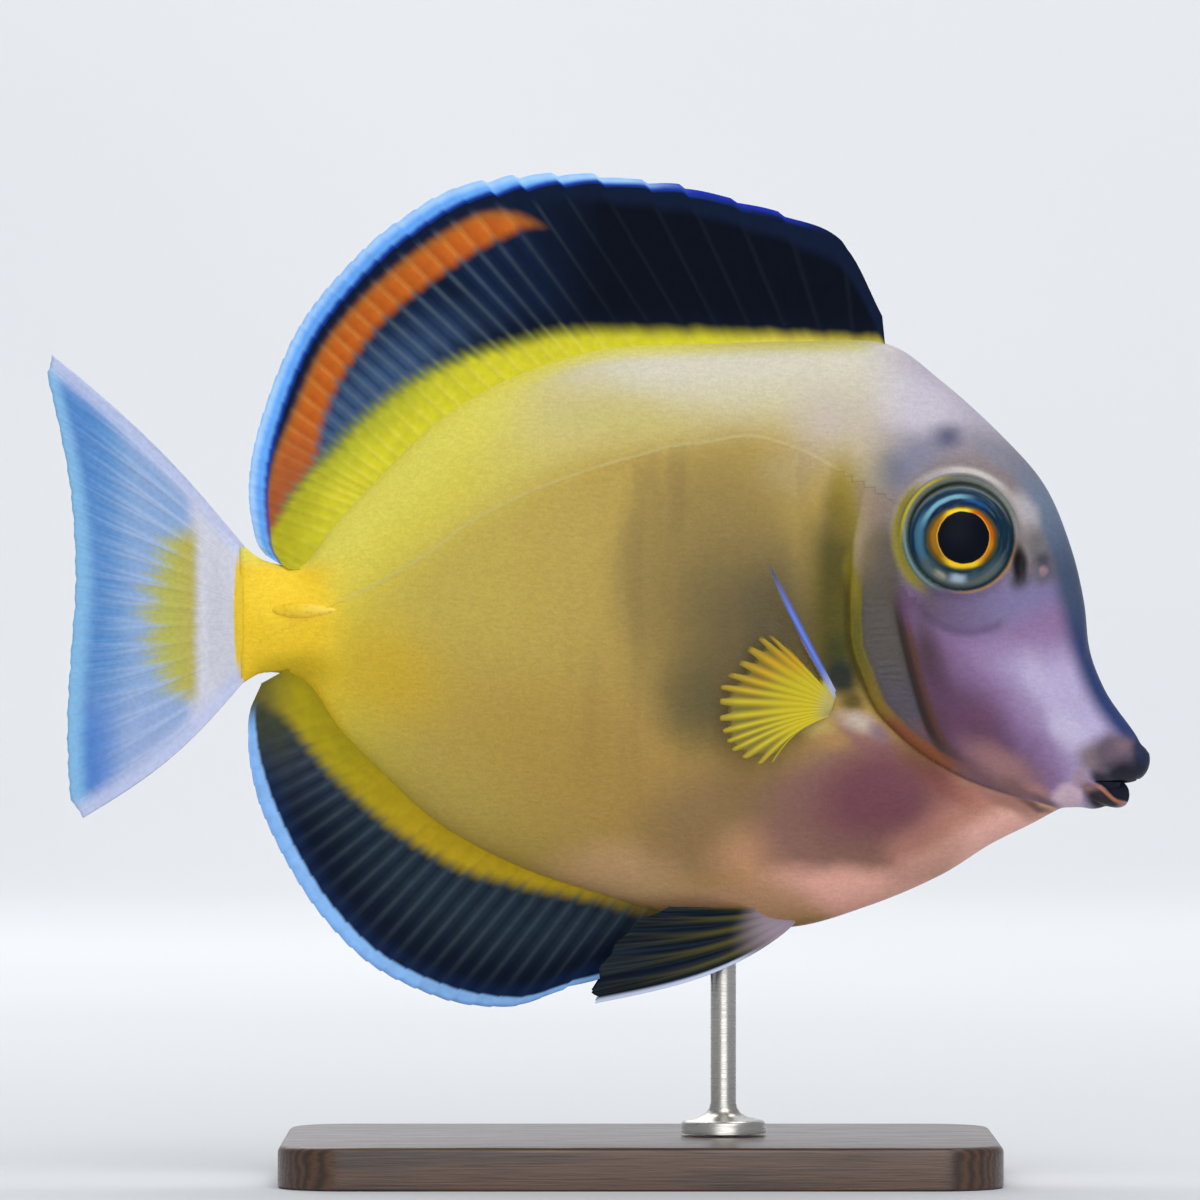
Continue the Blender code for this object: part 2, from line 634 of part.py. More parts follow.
def make_stand(fish, tools, wood, metal):
    form = bmesh.new()
    bmesh.ops.create_cube(form, size=1)
    bmesh.ops.scale(form, vec=BASE_SIZE, verts=form.verts)
    bmesh.ops.translate(form, vec=(BASE_CENTRE_X, 0, BASE_SIZE[2] / 2), verts=form.verts)
    upright = [e for e in form.edges if abs(e.verts[0].co.z - e.verts[1].co.z) > BASE_SIZE[2] / 2]
    bmesh.ops.bevel(
        form, geom=upright, offset=BASE_CORNER, segments=6, profile=0.5, affect="EDGES", material=-1,
    )
    top = [e for e in form.edges if min(v.co.z for v in e.verts) > BASE_SIZE[2] * 0.99]
    bmesh.ops.bevel(
        form, geom=top, offset=BASE_CHAMFER, segments=2, profile=0.5, affect="EDGES", material=-1,
    )
    make_object("stand_base", form, fish, wood)

    floor = BASE_SIZE[2] + GAP
    foot_top = floor + ROD_FOOT_HEIGHT
    profile = (
        (0.0, ROD_TOP_Z), (ROD_RADIUS, ROD_TOP_Z), (ROD_RADIUS, foot_top + 2 * MM),
        (ROD_RADIUS + 0.6 * MM, foot_top + 0.7 * MM), (ROD_FOOT_RADIUS - 0.8 * MM, foot_top),
        (ROD_FOOT_RADIUS, floor + ROD_FOOT_HEIGHT / 2), (ROD_FOOT_RADIUS, floor), (0.0, floor),
    )
    form = bmesh.new()
    line = [form.verts.new((r, 0, z)) for r, z in profile]
    edges = [form.edges.new(pair) for pair in zip(line, line[1:])]
    bmesh.ops.spin(
        form, geom=line + edges, cent=(0, 0, 0), axis=(0, 0, 1), angle=2 * math.pi, steps=20,
        use_merge=True,
    )
    bmesh.ops.remove_doubles(form, verts=form.verts, dist=1e-6)
    bmesh.ops.translate(form, vec=(ROD_X, 0, 0), verts=form.verts)
    rod = make_object("stand_rod", form, fish, metal)
    combine(rod, [make_object("flesh_space", flesh_form(GAP), tools)], "DIFFERENCE")


def main():
    clear_scene()
    fish, tools = make_collections()
    skin = make_material("flank_skin", (0.42, 0.31, 0.09), 0.45)
    eye = make_material("eye", (0.02, 0.05, 0.08), 0.15)
    dark_fin = make_material("dark_fin", (0.012, 0.025, 0.055), 0.4)
    clear_fin = make_material("pale_fin", (0.35, 0.5, 0.75), 0.4)
    yellow_fin = make_material("yellow_fin", (0.55, 0.42, 0.03), 0.4)
    scalpel = make_material("scalpel", (0.85, 0.55, 0.04), 0.35)
    wood = make_material("dark_wood", (0.055, 0.03, 0.018), 0.35)
    metal = make_material("brushed_metal", (0.62, 0.6, 0.56), 0.3, 1.0)
    surface = make_flesh(fish, tools, skin)
    make_eyes(fish, surface, eye)
    make_fins(fish, tools, surface, (dark_fin, clear_fin, yellow_fin))
    make_scalpels(fish, tools, surface, scalpel)
    make_stand(fish, tools, wood, metal)


main()
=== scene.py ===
"""Looks for the still, life-size model of a Japan surgeonfish on a plain display stand.

Lengths in the tables are millimetres: x runs from the middle of the fish's length towards its head,
z from the mid-line of its tail stalk. Everything else is in metres, on the floor of the model's frame.
"""

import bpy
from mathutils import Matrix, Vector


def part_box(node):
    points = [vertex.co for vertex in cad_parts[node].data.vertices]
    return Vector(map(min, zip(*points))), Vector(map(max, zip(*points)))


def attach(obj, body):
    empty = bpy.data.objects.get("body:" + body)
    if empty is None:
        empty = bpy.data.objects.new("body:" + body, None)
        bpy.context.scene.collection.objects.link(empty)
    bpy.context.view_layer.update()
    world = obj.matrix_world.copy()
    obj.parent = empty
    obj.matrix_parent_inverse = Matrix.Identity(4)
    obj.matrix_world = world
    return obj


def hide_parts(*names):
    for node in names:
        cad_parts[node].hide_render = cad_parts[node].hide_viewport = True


bl_info = {
    "name": "Surgeonfish display model",
    "version": (1, 0, 0),
    "blender": (4, 5, 0),
    "location": "View3D > Sidebar > Fish model",
    "description": "Builds the skin, eyes, fins, tail spines and stand of a still surgeonfish model",
    "category": "Mesh",
}

import math

import bmesh
import bpy
import numpy as np
from bpy.props import FloatProperty, FloatVectorProperty, IntProperty, PointerProperty
from mathutils import Matrix, Vector
from mathutils.bvhtree import BVHTree

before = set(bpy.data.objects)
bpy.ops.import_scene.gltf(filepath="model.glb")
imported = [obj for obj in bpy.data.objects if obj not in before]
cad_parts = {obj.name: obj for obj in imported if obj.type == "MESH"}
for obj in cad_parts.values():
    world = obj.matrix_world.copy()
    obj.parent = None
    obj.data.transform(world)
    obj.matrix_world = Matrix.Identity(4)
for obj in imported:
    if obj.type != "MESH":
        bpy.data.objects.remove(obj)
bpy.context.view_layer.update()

MM = 0.001
AXIS_HEIGHT = 0.0654
SIDES = (("right", -1), ("left", 1))


def numbers(text):
    """Rows of numbers from a text that has a comma or a new line after each row."""
    return tuple(tuple(map(float, row.split())) for row in text.replace("\n", ",").split(",") if row.strip())


def tint(red, green, blue):
    """A paint colour given from 0 to 255 as on a screen, turned into light."""
    shares = (red / 255, green / 255, blue / 255)
    return tuple(c / 12.92 if c <= 0.04045 else ((c + 0.055) / 1.055) ** 2.4 for c in shares)


# Flesh, from the tail's root to the snout. Columns: rung, back x, back z, belly x, belly z, half width.
RUNGS = numbers("""
0 -42.1 9.4 -41.9 -7.3 1.3
1 -39.5 7.4 -39.5 -6 1.9
2 -36.2 6.6 -36.4 -6.2 2.7
3 -34.1 7.3 -33.6 -7.8 3.4
4 -31 11.5 -30.3 -12.7 4.4
5 -26.3 16.5 -25.6 -17.5 5.6
6 -18.5 24 -18.5 -23.9 7
7 -9.5 29.1 -9.1 -28.9 8.2
8 0.3 32.1 0.9 -32.2 9.1
9 12.1 32.8 12.1 -35.1 9.7
10 23.8 33.1 22.6 -35.9 9.9
11 33.8 32.8 32.1 -33.3 9.6
12 40.3 28.5 40.3 -29.8 8.8
13 47.4 22.1 46.1 -26.2 7.5
14 52.6 16.1 50.9 -23.8 6.3
15 55.6 9.1 53.5 -22.4 5.3
16 57.2 2.6 54.6 -21.9 4.6
17 57.9 -3.3 55.7 -21.8 4
18 59.6 -7.8 57 -21.8 3.4
19 61.6 -10.9 58.2 -22 2.95
20 63.1 -12.8 59.4 -21.8 2.5
21 63.9 -14.3 60.3 -21.3 1.8
""")
SNOUT_TIP = (62.2, -16.7)
FLANK_FULLNESS = 0.95
# Stand for a rung on the two points that close the skin at its ends.
TAIL_POLE, SNOUT_POLE = -1.0, 99.0
# Round the eye and round the nostrils the skin's grid is finer. Columns: x, z, radius.
FINE_SPOTS = numbers("42.5 10.7 9.4, 50.5 6 3.2")
# How the skin's rings are shared out between the rungs: closer together on the head.
RING_SPREAD = numbers("0 0, 0.05 3, 0.14 5, 0.33 8, 0.48 10.2, 0.65 12, 0.8 14, 0.9 17, 1 21")

GILL_EDGE = numbers("""
35.6 36.5, 33.4 26.1, 31.8 17.9, 29.9 9.6, 29.4 2.6, 29.6 -2.6, 30.9 -6.6, 32.4 -10.1, 34.6 -12.6, 37.8 -15.3,
42.4 -18, 47.4 -19.9, 53.2 -21.5, 55.5 -22.6
""")
GILL_OPENING_START, GILL_OPENING_END = 0.41, 0.97
CHEEK_GROOVE = numbers("34.5 4.4, 35.9 -2.1, 37.4 -8, 39.3 -13.3, 42.1 -16.6, 46.2 -19")
CHEEK_FOLD = numbers("36.6 3.2, 38.4 1, 40.8 -0.6, 43.6 -1.1, 46 -0.6, 48.2 0.3")
LATERAL_LINE = numbers("""
27.8 18, 24.2 20, 19.7 21.5, 17 21.8, 12.8 21.1, 8.6 20.6, 5.8 19.8, -0.2 18.1, -4.8 16.5, -9.5 14.6,
-15.6 11.3, -19.2 8.5, -24.4 5.3, -29.7 2.6
""")
SNOUT_RIDGE = numbers("41 25.6, 45.5 21.6, 49.5 16.8, 51.8 12, 53.4 7, 54.9 1.5, 56.2 -3.5, 58 -8.3, 60.4 -12")
# Where three of these lines run on for the colours alone.
GROOVE_ABOVE, FOLD_BEHIND = (32.6, 13), (28, 9)
FOLD_AHEAD, RIDGE_BELOW = numbers("53 2.4, 60 6"), numbers("63.4 -16, 66 -20")
# Where the plum cheek turns lilac, and the lower lip's rim in front of the open mouth.
CHEEK_EDGE = numbers("""
39.5 0.5, 41.5 -1.5, 43.2 -3.6, 45.6 -6.8, 48.6 -10.4, 50.8 -13.3, 53 -16, 53.6 -19, 52.6 -22
""")
MOUTH_RIM = numbers("57.6 -18.6, 58.9 -19.3, 59.8 -20.1, 60.9 -21, 62.8 -21.7")

EYE_RADIUS, EYE_DEPTH, EYE_SUNK = 6.75, 4.4, 2
EYE_FACES = Vector((0.14, 1, 0.09)).normalized()
# How far the pupil looks backwards and down from the middle of the eyeball's front.
EYE_LOOK = (0.05, 0.3)
# Columns: x, z, half length, half height, depth. The front one is a short tube that stands up.
NOSTRILS = numbers("""
49.4 6.7 0.85 2 0.6
52.1 6 0.55 0.6 -0.3
""")
# Lips: front x, z and half height, then the same at the corners, then half width.
UPPER_LIP = (65, -16.15, 2.95, 58, -18.2, 0.7, 3)
LOWER_LIP = (62.6, -20.35, 2.1, 57.6, -19.7, 0.9, 2.8)
LIP_BACK, LIP_BLUNTNESS = 1.2, 0.42
# Where the lips are drawn into the snout, save for the slit, and where that is done more often.
# Columns: low x, high x, low z, high z.
LIP_JOIN, SLIT_EDGES, LIP_CREASE = numbers("56.5 62.6 -22.5 -11.5, 57.6 62.6 -19.9 -17.9, 58.5 64.9 -15.4 -10.4")
# The mouth's slit: corner x and z, front x, low z and top z, then where the wall behind its front stands.
MOUTH = (58.1, -18.75, 66, -18.9, -18.35, 63.4)

# Rays of the fins. Columns: ray, rung that it stands on, tip x, tip z.
DORSAL = numbers("""
0 11 33.5 36, 1 10.6 28.8 44.8, 2 10.25 21.9 48.1, 3 9.9 15.7 49.9, 4 9.55 10.1 51.5, 5 9.24 5.2 52.1,
6 8.93 -0.5 52.8, 7 8.62 -5.4 52.9, 8 8.33 -9.6 52.7, 9 8.05 -13.6 52, 13 7.28 -23.6 47.1, 17 6.45 -30.5 40.8,
22 5.55 -36 33.2, 26 5 -39.3 24.8, 31 4.3 -41 16.3, 34 3.4 -40.7 12, 36 2.3 -39.9 9, 37 1.7 -39.1 7.9
""")
DORSAL_SPINES = 9
ANAL = numbers("""
0 8.75 7.8 -37.2, 1 8.6 4.5 -40.4, 2 8.45 0.3 -42, 3 8.28 -3.7 -43.2, 5 7.93 -9.6 -45.2, 7 7.55 -15 -45.1,
10 6.97 -21.5 -43.1, 13 6.4 -27.2 -39.9, 16 5.87 -32.2 -34.9, 20 5.15 -37.2 -27.2, 24 4.28 -40.4 -19.4,
27 3.3 -41.1 -13, 28 2.6 -40.9 -10.5, 29 1.7 -39.5 -7.2
""")
ANAL_SPINES = 3
# Columns: ray, tip x, tip z.
TAIL = numbers("""
0 -64.3 31.5, 1 -64.8 29, 2 -63.9 24.9, 4 -62.4 17.3, 6 -61.7 10.3, 8 -61.6 3.4, 10 -62.1 -3.6, 12 -62.5 -10.6,
14 -62.4 -17.4, 15 -62.1 -20.8, 16 -60.6 -23.1
""")
TAIL_ROOT_X, TAIL_ROOT_TOP_Z, TAIL_ROOT_LOW_Z = -41.6, 9, -7
TAIL_BOW_TOP, TAIL_BOW_LOW = 1, -1.3
PECTORAL = numbers("""
0 19.7 7.6, 2 18.6 5.2, 4 17.5 2.8, 5 17 1.5, 6 16.6 0.2, 7 15.8 -1.9, 8 15.1 -4, 9 14.7 -5.9, 10 14.3 -7.5,
11 14.25 -9.2, 12 14.2 -11.2, 13 14.6 -12.7, 14 15.1 -13.9, 15 15.7 -14.9, 16 17 -15.8, 17 18.8 -16.5,
18 20.4 -16.3
""")
PECTORAL_ROOT = numbers("28 -8.3, 27.1 -11")
# Columns: ray, root x, root z, tip x, tip z.
PELVIC = numbers("""
0 23.3 -35.2 -0.3 -44.7
1 22.8 -34.9 -0.7 -43.4
2 22.2 -34.6 0.2 -40.5
3 21.7 -34.3 2.1 -37.6
4 21.2 -34 5 -34.9
5 20.6 -33.6 8.4 -33.3
""")

# Where the colour bands of the fins end.
DORSAL_YELLOW_TOP = numbers("""
34 33, 29.7 33.2, 15 33.9, 0.3 34.2, -4.9 33.9, -9.1 32.9, -14.1 31.6, -18.3 30, -22.3 28, -25.6 25.6,
-28.9 22.7, -31.5 19.8, -34.2 17.4, -36.2 14.8, -38.1 12.2, -42 10
""")
DORSAL_ORANGE_TOP = numbers("""
-6 46.4, -7.8 47.4, -10.1 48.3, -14.1 48.1, -19 45.4, -23.6 42.1, -28.9 37.2, -32.9 32, -35.8 25.6, -38.4 19.4,
-39.6 13.9, -40 10
""")
DORSAL_ORANGE_LOW = numbers("""
-6 46.4, -8.4 46.1, -13.4 43.8, -17 41.5, -21 38.6, -24.9 35.3, -27.6 32, -30.5 27.6, -32.5 23.1, -33.5 19.4,
-35.1 17.2, -37.1 14.8, -38.4 11.9, -40 10
""")
ANAL_YELLOW_LOW = numbers("""
-42 -8.5, -37 -10.9, -34.2 -14.2, -31.2 -17.8, -27.6 -21.1, -24.1 -24.1, -20.4 -26.5, -16.1 -28.9, -11.4 -30.2,
-6.8 -31.3, -0.5 -32.5, 4.9 -34, 12 -35.5
""")
PECTORAL_YELLOW_EDGE = numbers("""
22.9 -2.4, 21.2 -2.6, 19.5 -2.5, 18.4 -3.5, 17.5 -5, 16.4 -6.3, 15.2 -7.6, 14.7 -9.1, 14.8 -11, 14.8 -12.7,
15.1 -13.9, 15.7 -14.9, 17.2 -15.8, 19.4 -16, 21.2 -15.9, 23.5 -15
""")


# Soft patches of colour on the skin, laid one over the other. The pale rows low on the belly are painted lighter than
# the skin's own colour: painted light that makes up for the shade under the belly.
# Columns: x, z, half length, half height, turn in degrees, hardness, strength, red, green, blue.
BODY_PATCHES = numbers("""
14 3 15 22 0 0.5 0.85 142 120 66
17.5 -1 13 17 10 0.1 0.86 98 86 56
21 0 7 11.5 8 0.1 0.55 84 76 56
12 -9.5 8 9 20 0.1 0.72 88 82 54
23 18 6.5 5 0 0.1 0.5 170 154 118
-6 -14 26 12 -24 0.1 0.5 172 138 62
-25 -6 12 9 -20 0.1 0.65 204 166 34
3 24 15 5.5 -6 0.1 0.6 194 180 96
27 23.5 7.5 7.5 0 0 0.65 190 178 180
3 -30.5 15 6.5 0 0.2 0.75 204 164 122
14.5 -24 14 10 0 0.3 0.75 140 112 78
20 -28 10 6.5 0 0.2 0.85 204 152 114
29 -23 13.5 11.5 10 0.5 0.92 138 100 92
41.5 -24 10.5 5.2 28 0.5 0.95 188 132 116
41 -19.2 6 2.6 -30 0.3 0.9 168 108 94
31.5 -13.8 6 3 -40 0.4 0.9 146 102 98
33 -20.4 12 7.8 14 0.3 0.92 116 68 80
38.5 -17.2 5.5 2.2 -38 0.1 0.6 112 66 54
47 -25.6 10.5 4.6 26 0.4 1 232 176 162
47.2 -20.3 8 2 -26 0.35 0.95 164 116 106
33 -32.5 16 4.8 -8 0.4 0.95 244 182 166
38.5 -28.4 7.5 3.2 30 0.3 0.95 206 154 138
16 -34 14 4 4 0.35 0.75 192 146 116
51.6 -21.6 3.6 0.8 -24 0.1 0.85 92 68 66
""")
# The two darkest rows, just behind the gill cover's edge, are painted shade in the hollow under the cover; the
# near-white row at the pectoral fin's root is a painted highlight.
GILL_PATCHES = numbers("""
27.4 -3.4 2.4 3.4 0 0.2 0.85 56 60 22
28.3 -6.2 2.7 3 16 0.3 0.95 28 38 34
29.6 -9.2 2.2 1.9 -40 0.2 0.9 88 72 30
28.2 12.5 2.8 6 0 0.1 0.7 112 94 30
25.4 -12.2 3.4 2 -14 0.1 0.85 196 172 104
27.2 -14.2 2.8 1.6 -10 0.1 0.7 178 134 86
30.4 -11.9 3.8 2 -22 0 0.85 204 188 172
32.8 -13.2 2.6 1.5 -34 0.1 0.85 138 112 122
""")
# The near-black rows in the mouth's slit are painted shade inside the open mouth.
HEAD_PATCHES = numbers("""
36 26 9 5 -16 0.3 0.8 198 191 204
30.5 23 4 7 0 0.1 0.75 186 176 192
36.2 18.6 8.6 3.8 30 0.05 0.9 126 128 150
40.6 21.7 3.2 2.4 -24 0.05 0.85 80 82 112
34.4 17.6 3.4 3.2 20 0.05 0.85 98 104 126
45.5 19.8 5 2 -34 0.1 0.7 132 132 146
50.3 12.9 1.8 3.4 24 0.2 0.8 176 172 178
51.2 9.4 2 2.4 0 0.1 0.8 106 104 106
52 6.4 3 3.4 10 0.2 0.85 88 86 98
52 7.4 1.5 1.3 0 0.1 0.8 62 62 72
52.1 6 0.9 0.9 0 0.2 0.85 156 122 132
49.2 5 1.9 1.9 0 0.1 0.85 46 46 52
48.9 7.8 1.5 3 16 0.1 0.8 60 62 62
33 12.5 3.4 6 0 0.1 0.8 124 108 104
33.2 6.6 3.8 6.6 0 0.4 0.9 82 75 66
39.8 -14.8 4 2 -38 0.2 0.85 104 78 86
38.6 2.5 2 4 0 0.1 0.6 92 78 88
44.4 -12.4 6 5 -46 0.1 0.75 100 66 88
38.9 -3.6 2.3 8 18 0.05 0.88 74 54 66
39.6 -11.6 2.2 4 14 0.1 0.6 84 56 66
47.5 -16.8 7.5 3 -30 0.2 0.88 154 112 114
49.3 -19.3 5.5 1.3 -22 0.1 0.85 120 88 86
51.9 -19.5 2.8 1.3 -26 0.1 0.85 166 122 116
51.8 -6.6 2.6 5.5 26 0.1 0.4 196 184 214
55 -12.6 2.6 4.5 32 0.1 0.8 200 190 218
58.4 -15.8 3.2 2.8 -30 0.25 0.95 126 108 114
61 -15.2 4.2 3 -30 0.45 0.95 98 82 96
61.6 -14.2 1.9 1.3 -34 0.1 0.7 128 106 116
55.5 -20.4 2.6 2.3 -14 0.5 0.95 206 178 192
52.7 -20.9 3 1.1 -26 0.1 0.9 112 86 88
56.9 -18.2 1.7 1.7 0 0.2 0.85 164 138 152
58.4 -19.6 2.2 1.3 -30 0.3 0.95 122 90 84
59.6 -20.9 2.9 2 -16 0.5 1 48 43 50
63.9 -15.9 1.7 3.6 8 0.35 0.95 40 46 72
61.8 -17.8 4.6 2.7 0 0.25 0.97 22 25 36
59.2 -18 1.8 1.2 -30 0.2 0.9 32 33 42
""")


def count(name, description, default):
    return IntProperty(name=name, description=description, default=default, min=32)


def measure(name, description, millimetres):
    return FloatProperty(name=name, description=description, default=millimetres * MM, unit="LENGTH")


def power(name, description, watts):
    return FloatProperty(name=name, description=description, default=watts, unit="POWER")


def paint(name, description, *shades):
    return FloatVectorProperty(name=name, description=description, default=tint(*shades), subtype="COLOR")


class FishShape(bpy.types.PropertyGroup):
    around: count("Points around", "Points round each ring of the skin", 256)
    rings: count("Rings", "Rings of the skin from tail root to snout", 220)
    gill_step: measure("Gill step", "How far the flank lies below the gill cover's edge", 0.45)
    groove_depth: measure("Cheek groove", "Depth of the groove in front of the gill cover", 0.62)
    lid_height: measure("Eyelid height", "How far the eyelid stands out of the skin", 0.5)
    scale_size: measure("Scale size", "Width of one skin scale", 0.42)
    scale_relief: measure("Scale relief", "Height of the skin's scales", 0.028)


class FishColours(bpy.types.PropertyGroup):
    flank: paint("Flank", "Mustard colour of the flank", 178, 151, 76)
    lower_flank: paint("Lower flank", "Ochre colour below the middle", 170, 137, 76)
    upper_flank: paint("Upper flank", "Straw colour above the side line", 197, 183, 108)
    back: paint("Back", "Cream colour along the back", 208, 203, 184)
    rear: paint("Rear flank", "Yellow of the rear flank", 208, 194, 76)
    stalk: paint("Tail stalk", "Bright yellow of the tail stalk", 240, 200, 45)
    head: paint("Head", "Warm grey of the head", 134, 122, 122)
    snout: paint("Snout", "Slate blue along the front of the snout", 30, 54, 104)
    gill_strip: paint("Gill strip", "Olive strip along the gill cover", 112, 103, 22)
    # The open mouth's near black is painted shade inside the mouth.
    mouth: paint("Mouth", "Near black of the open mouth", 20, 24, 42)
    eyelid: paint("Eyelid", "Pale skin over the eye", 178, 172, 170)
    iris: paint("Iris", "Teal flecks of the iris", 84, 110, 116)
    eye_ring: paint("Eye ring", "Gold ring round the pupil", 250, 206, 36)
    fin_dark: paint("Fin web", "Blue black of the dorsal fin's web", 7, 13, 26)
    fin_yellow: paint("Fin base", "Yellow along the base of the dorsal fin", 206, 200, 46)
    fin_orange: paint("Dorsal band", "Orange band of the dorsal fin", 196, 100, 34)
    fin_margin: paint("Fin margin", "Light blue rim of the fins", 100, 166, 244)
    tail: paint("Tail", "Sky blue of the tail fin", 82, 138, 196)
    tail_rim: paint("Tail rim", "Lavender white rim of the tail fin", 190, 198, 230)
    tail_bar: paint("Tail bar", "Yellow bar across the tail fin", 182, 180, 62)
    pectoral: paint("Pectoral fin", "Yellow of the pectoral fan", 200, 182, 38)


class StandLook(bpy.types.PropertyGroup):
    corner: measure("Corner round", "Rounding of the base's corners", 8)
    bevel: measure("Edge round", "Rounding of the base's upper edge", 0.9)
    foot_bevel: measure("Foot round", "Rounding of the base's lower edge", 0.25)
    wood_light: paint("Light grain", "Lighter colour of the wood", 92, 62, 42)
    wood_dark: paint("Dark grain", "Darker colour of the wood", 48, 30, 20)
    steel: paint("Rod", "Colour of the brushed steel rod", 196, 194, 188)


class StageLook(bpy.types.PropertyGroup):
    floor: paint("Floor", "Colour of the floor and backdrop", 214, 216, 219)
    key_power: power("Key light", "Power of the light above", 4.2)
    fill_power: power("Fill light", "Power of the light in front", 5.2)
    backdrop_power: power("Backdrop light", "Power of the light on the backdrop", 22)
    camera_distance: measure("Camera distance", "From the camera to the fish", 1200)
    view_width: measure("View width", "Width that the picture takes in at the fish", 141.18)


class Value:
    """A shader socket that can stand in a Python expression: each step adds the nodes that work it out."""

    def __init__(self, finish, socket):
        self.finish = finish
        self.socket = socket

    def maths(self, operation, *others, swap=False):
        terms = (*others, self) if swap else (self, *others)
        sockets = dict(zip(("Value", "Value_001", "Value_002"), terms))
        return self.finish.value("Math", {"operation": operation}, **sockets)

    def __add__(self, other):
        return self.maths("ADD", other)

    __radd__ = __add__

    def __sub__(self, other):
        return self.maths("SUBTRACT", other)

    def __rsub__(self, other):
        return self.maths("SUBTRACT", other, swap=True)

    def __mul__(self, other):
        return self.maths("MULTIPLY", other)

    __rmul__ = __mul__

    def __truediv__(self, other):
        return self.maths("DIVIDE", other)

    def __rtruediv__(self, other):
        return self.maths("DIVIDE", other, swap=True)

    def __pow__(self, other):
        return self.maths("POWER", other)

    def __abs__(self):
        return self.maths("ABSOLUTE")

    def ease(self, low, high, start=0, end=1):
        """Goes smoothly from start to end while the value goes from low to high."""
        if low > high:
            low, high, start, end = high, low, end, start
        settings = {"interpolation_type": "SMOOTHSTEP", "clamp": False}
        return self.finish.value("MapRange", settings, Value=self, From_Min=low, From_Max=high, To_Min=start,
                                 To_Max=end)

    def band(self, soft, full=0.05, strength=1):
        """Strength where the value is nearly none, less and less out to soft on both sides."""
        return abs(self).ease(soft, full, 0, strength)

    def patch(self, x, z, half_x, half_z, turn, hardness, strength):
        """A soft oval round x and z, for a value that is a place: strength in its middle, none at its rim."""
        moved = self.finish.value("Mapping", {"vector_type": "TEXTURE"}, Vector=self, Location=(x, 0, z),
                                  Rotation=(0, -math.radians(turn), 0), Scale=(half_x, 1, half_z))
        ball = self.finish.value("TexGradient", {"gradient_type": "SPHERICAL"}, out="Fac", Vector=moved)
        return ball.ease(0, 1 - hardness, 0, strength)

    def lay(self, colour, mask):
        """Lays a colour over this one where the mask is above none."""
        self.socket = self.finish.blend(self, colour, mask).socket

    def lay_patches(self, patches, spot, mask=None):
        for *oval, red, green, blue in patches:
            here = spot.patch(*oval)
            self.lay((red, green, blue), here if mask is None else here * mask)

    def shade(self, amount):
        """Makes this colour darker or lighter."""
        self.socket = self.finish.value("VectorMath", {"operation": "SCALE"}, Vector=self, Scale=amount).socket


class Finish:
    """A material with a Principled shader, and short ways to the nodes that feed it."""

    def __init__(self, name, roughness=0.4, coat=0.0, coat_roughness=0.1, specular=0.5, metallic=0.0):
        self.material = bpy.data.materials.new(name)
        self.material.use_nodes = True
        self.tree = self.material.node_tree
        self.shader = self.tree.nodes["Principled BSDF"]
        fixed = {
            "Roughness": roughness, "Coat Weight": coat, "Coat Roughness": coat_roughness,
            "Specular IOR Level": specular, "Metallic": metallic,
        }
        for socket, value in fixed.items():
            self.shader.inputs[socket].default_value = value

    def value(self, kind, settings=(), out=0, **sockets):
        """Adds a node: its settings first, then values or links for its sockets by identifier or name."""
        made = self.tree.nodes.new("ShaderNode" + kind)
        for name, value in dict(settings).items():
            setattr(made, name, value)
        for name, value in sockets.items():
            socket = self.socket_of(made, name)
            if isinstance(value, Value):
                self.tree.links.new(value.socket, socket)
            elif isinstance(socket.default_value, float):
                socket.default_value = value
            else:
                socket.default_value = (*value, 1.0)[:len(socket.default_value)]
        return Value(self, made.outputs[out])

    def socket_of(self, made, name):
        plain = name.replace("_", " ").lower()
        for socket in made.inputs:
            if socket.identifier == name or (socket.enabled and socket.name.lower() == plain):
                return socket
        raise ValueError(f"{made.bl_idname} has no socket {name}")

    def attribute(self, name):
        return self.value("Attribute", {"attribute_name": name}, out="Fac")

    def place(self):
        """The point's place on the model, in the tables' millimetres."""
        return self.value("VectorMath", {"operation": "MULTIPLY_ADD"}, Vector=self.value("TexCoord", out="Object"),
                          Vector_001=(1000, 1000, 1000), Vector_002=(0, 0, -AXIS_HEIGHT * 1000))

    def split(self, vector, kind="SeparateXYZ", socket="Vector"):
        first = self.value(kind, **{socket: vector})
        return tuple(Value(self, end) for end in first.socket.node.outputs)

    def join(self, x, y, z):
        return self.value("CombineXYZ", X=x, Y=y, Z=z)

    def noise(self, vector, scale, detail=2, roughness=0.5, out="Fac"):
        return self.value("TexNoise", out=out, Vector=vector, Scale=scale, Detail=detail, Roughness=roughness)

    def blend(self, first, second, factor):
        """A colour between two, each a link, a setting, or a tuple of red, green and blue from 0 to 255."""
        first, second = (tint(*colour) if isinstance(colour, tuple) else colour for colour in (first, second))
        return self.value("Mix", {"data_type": "RGBA", "clamp_factor": True}, out=2, Factor_Float=factor,
                          A_Color=first, B_Color=second)

    def scaled(self, vector, x, y, z):
        return self.value("VectorMath", {"operation": "MULTIPLY"}, Vector=vector, Vector_001=(x, y, z))

    def between_rays(self, ray):
        """One in the middle between two rays, none on them."""
        return 1 - abs(ray.maths("FRACT") - 0.5) * 2

    def bump(self, height, distance, normal=None, strength=1.0):
        sockets = {"Height": height, "Distance": distance, "Strength": strength}
        if normal is not None:
            sockets["Normal"] = normal
        return self.value("Bump", **sockets)

    def feed(self, **sockets):
        for name, value in sockets.items():
            self.tree.links.new(value.socket, self.shader.inputs[name.replace("_", " ")])
        return self.material


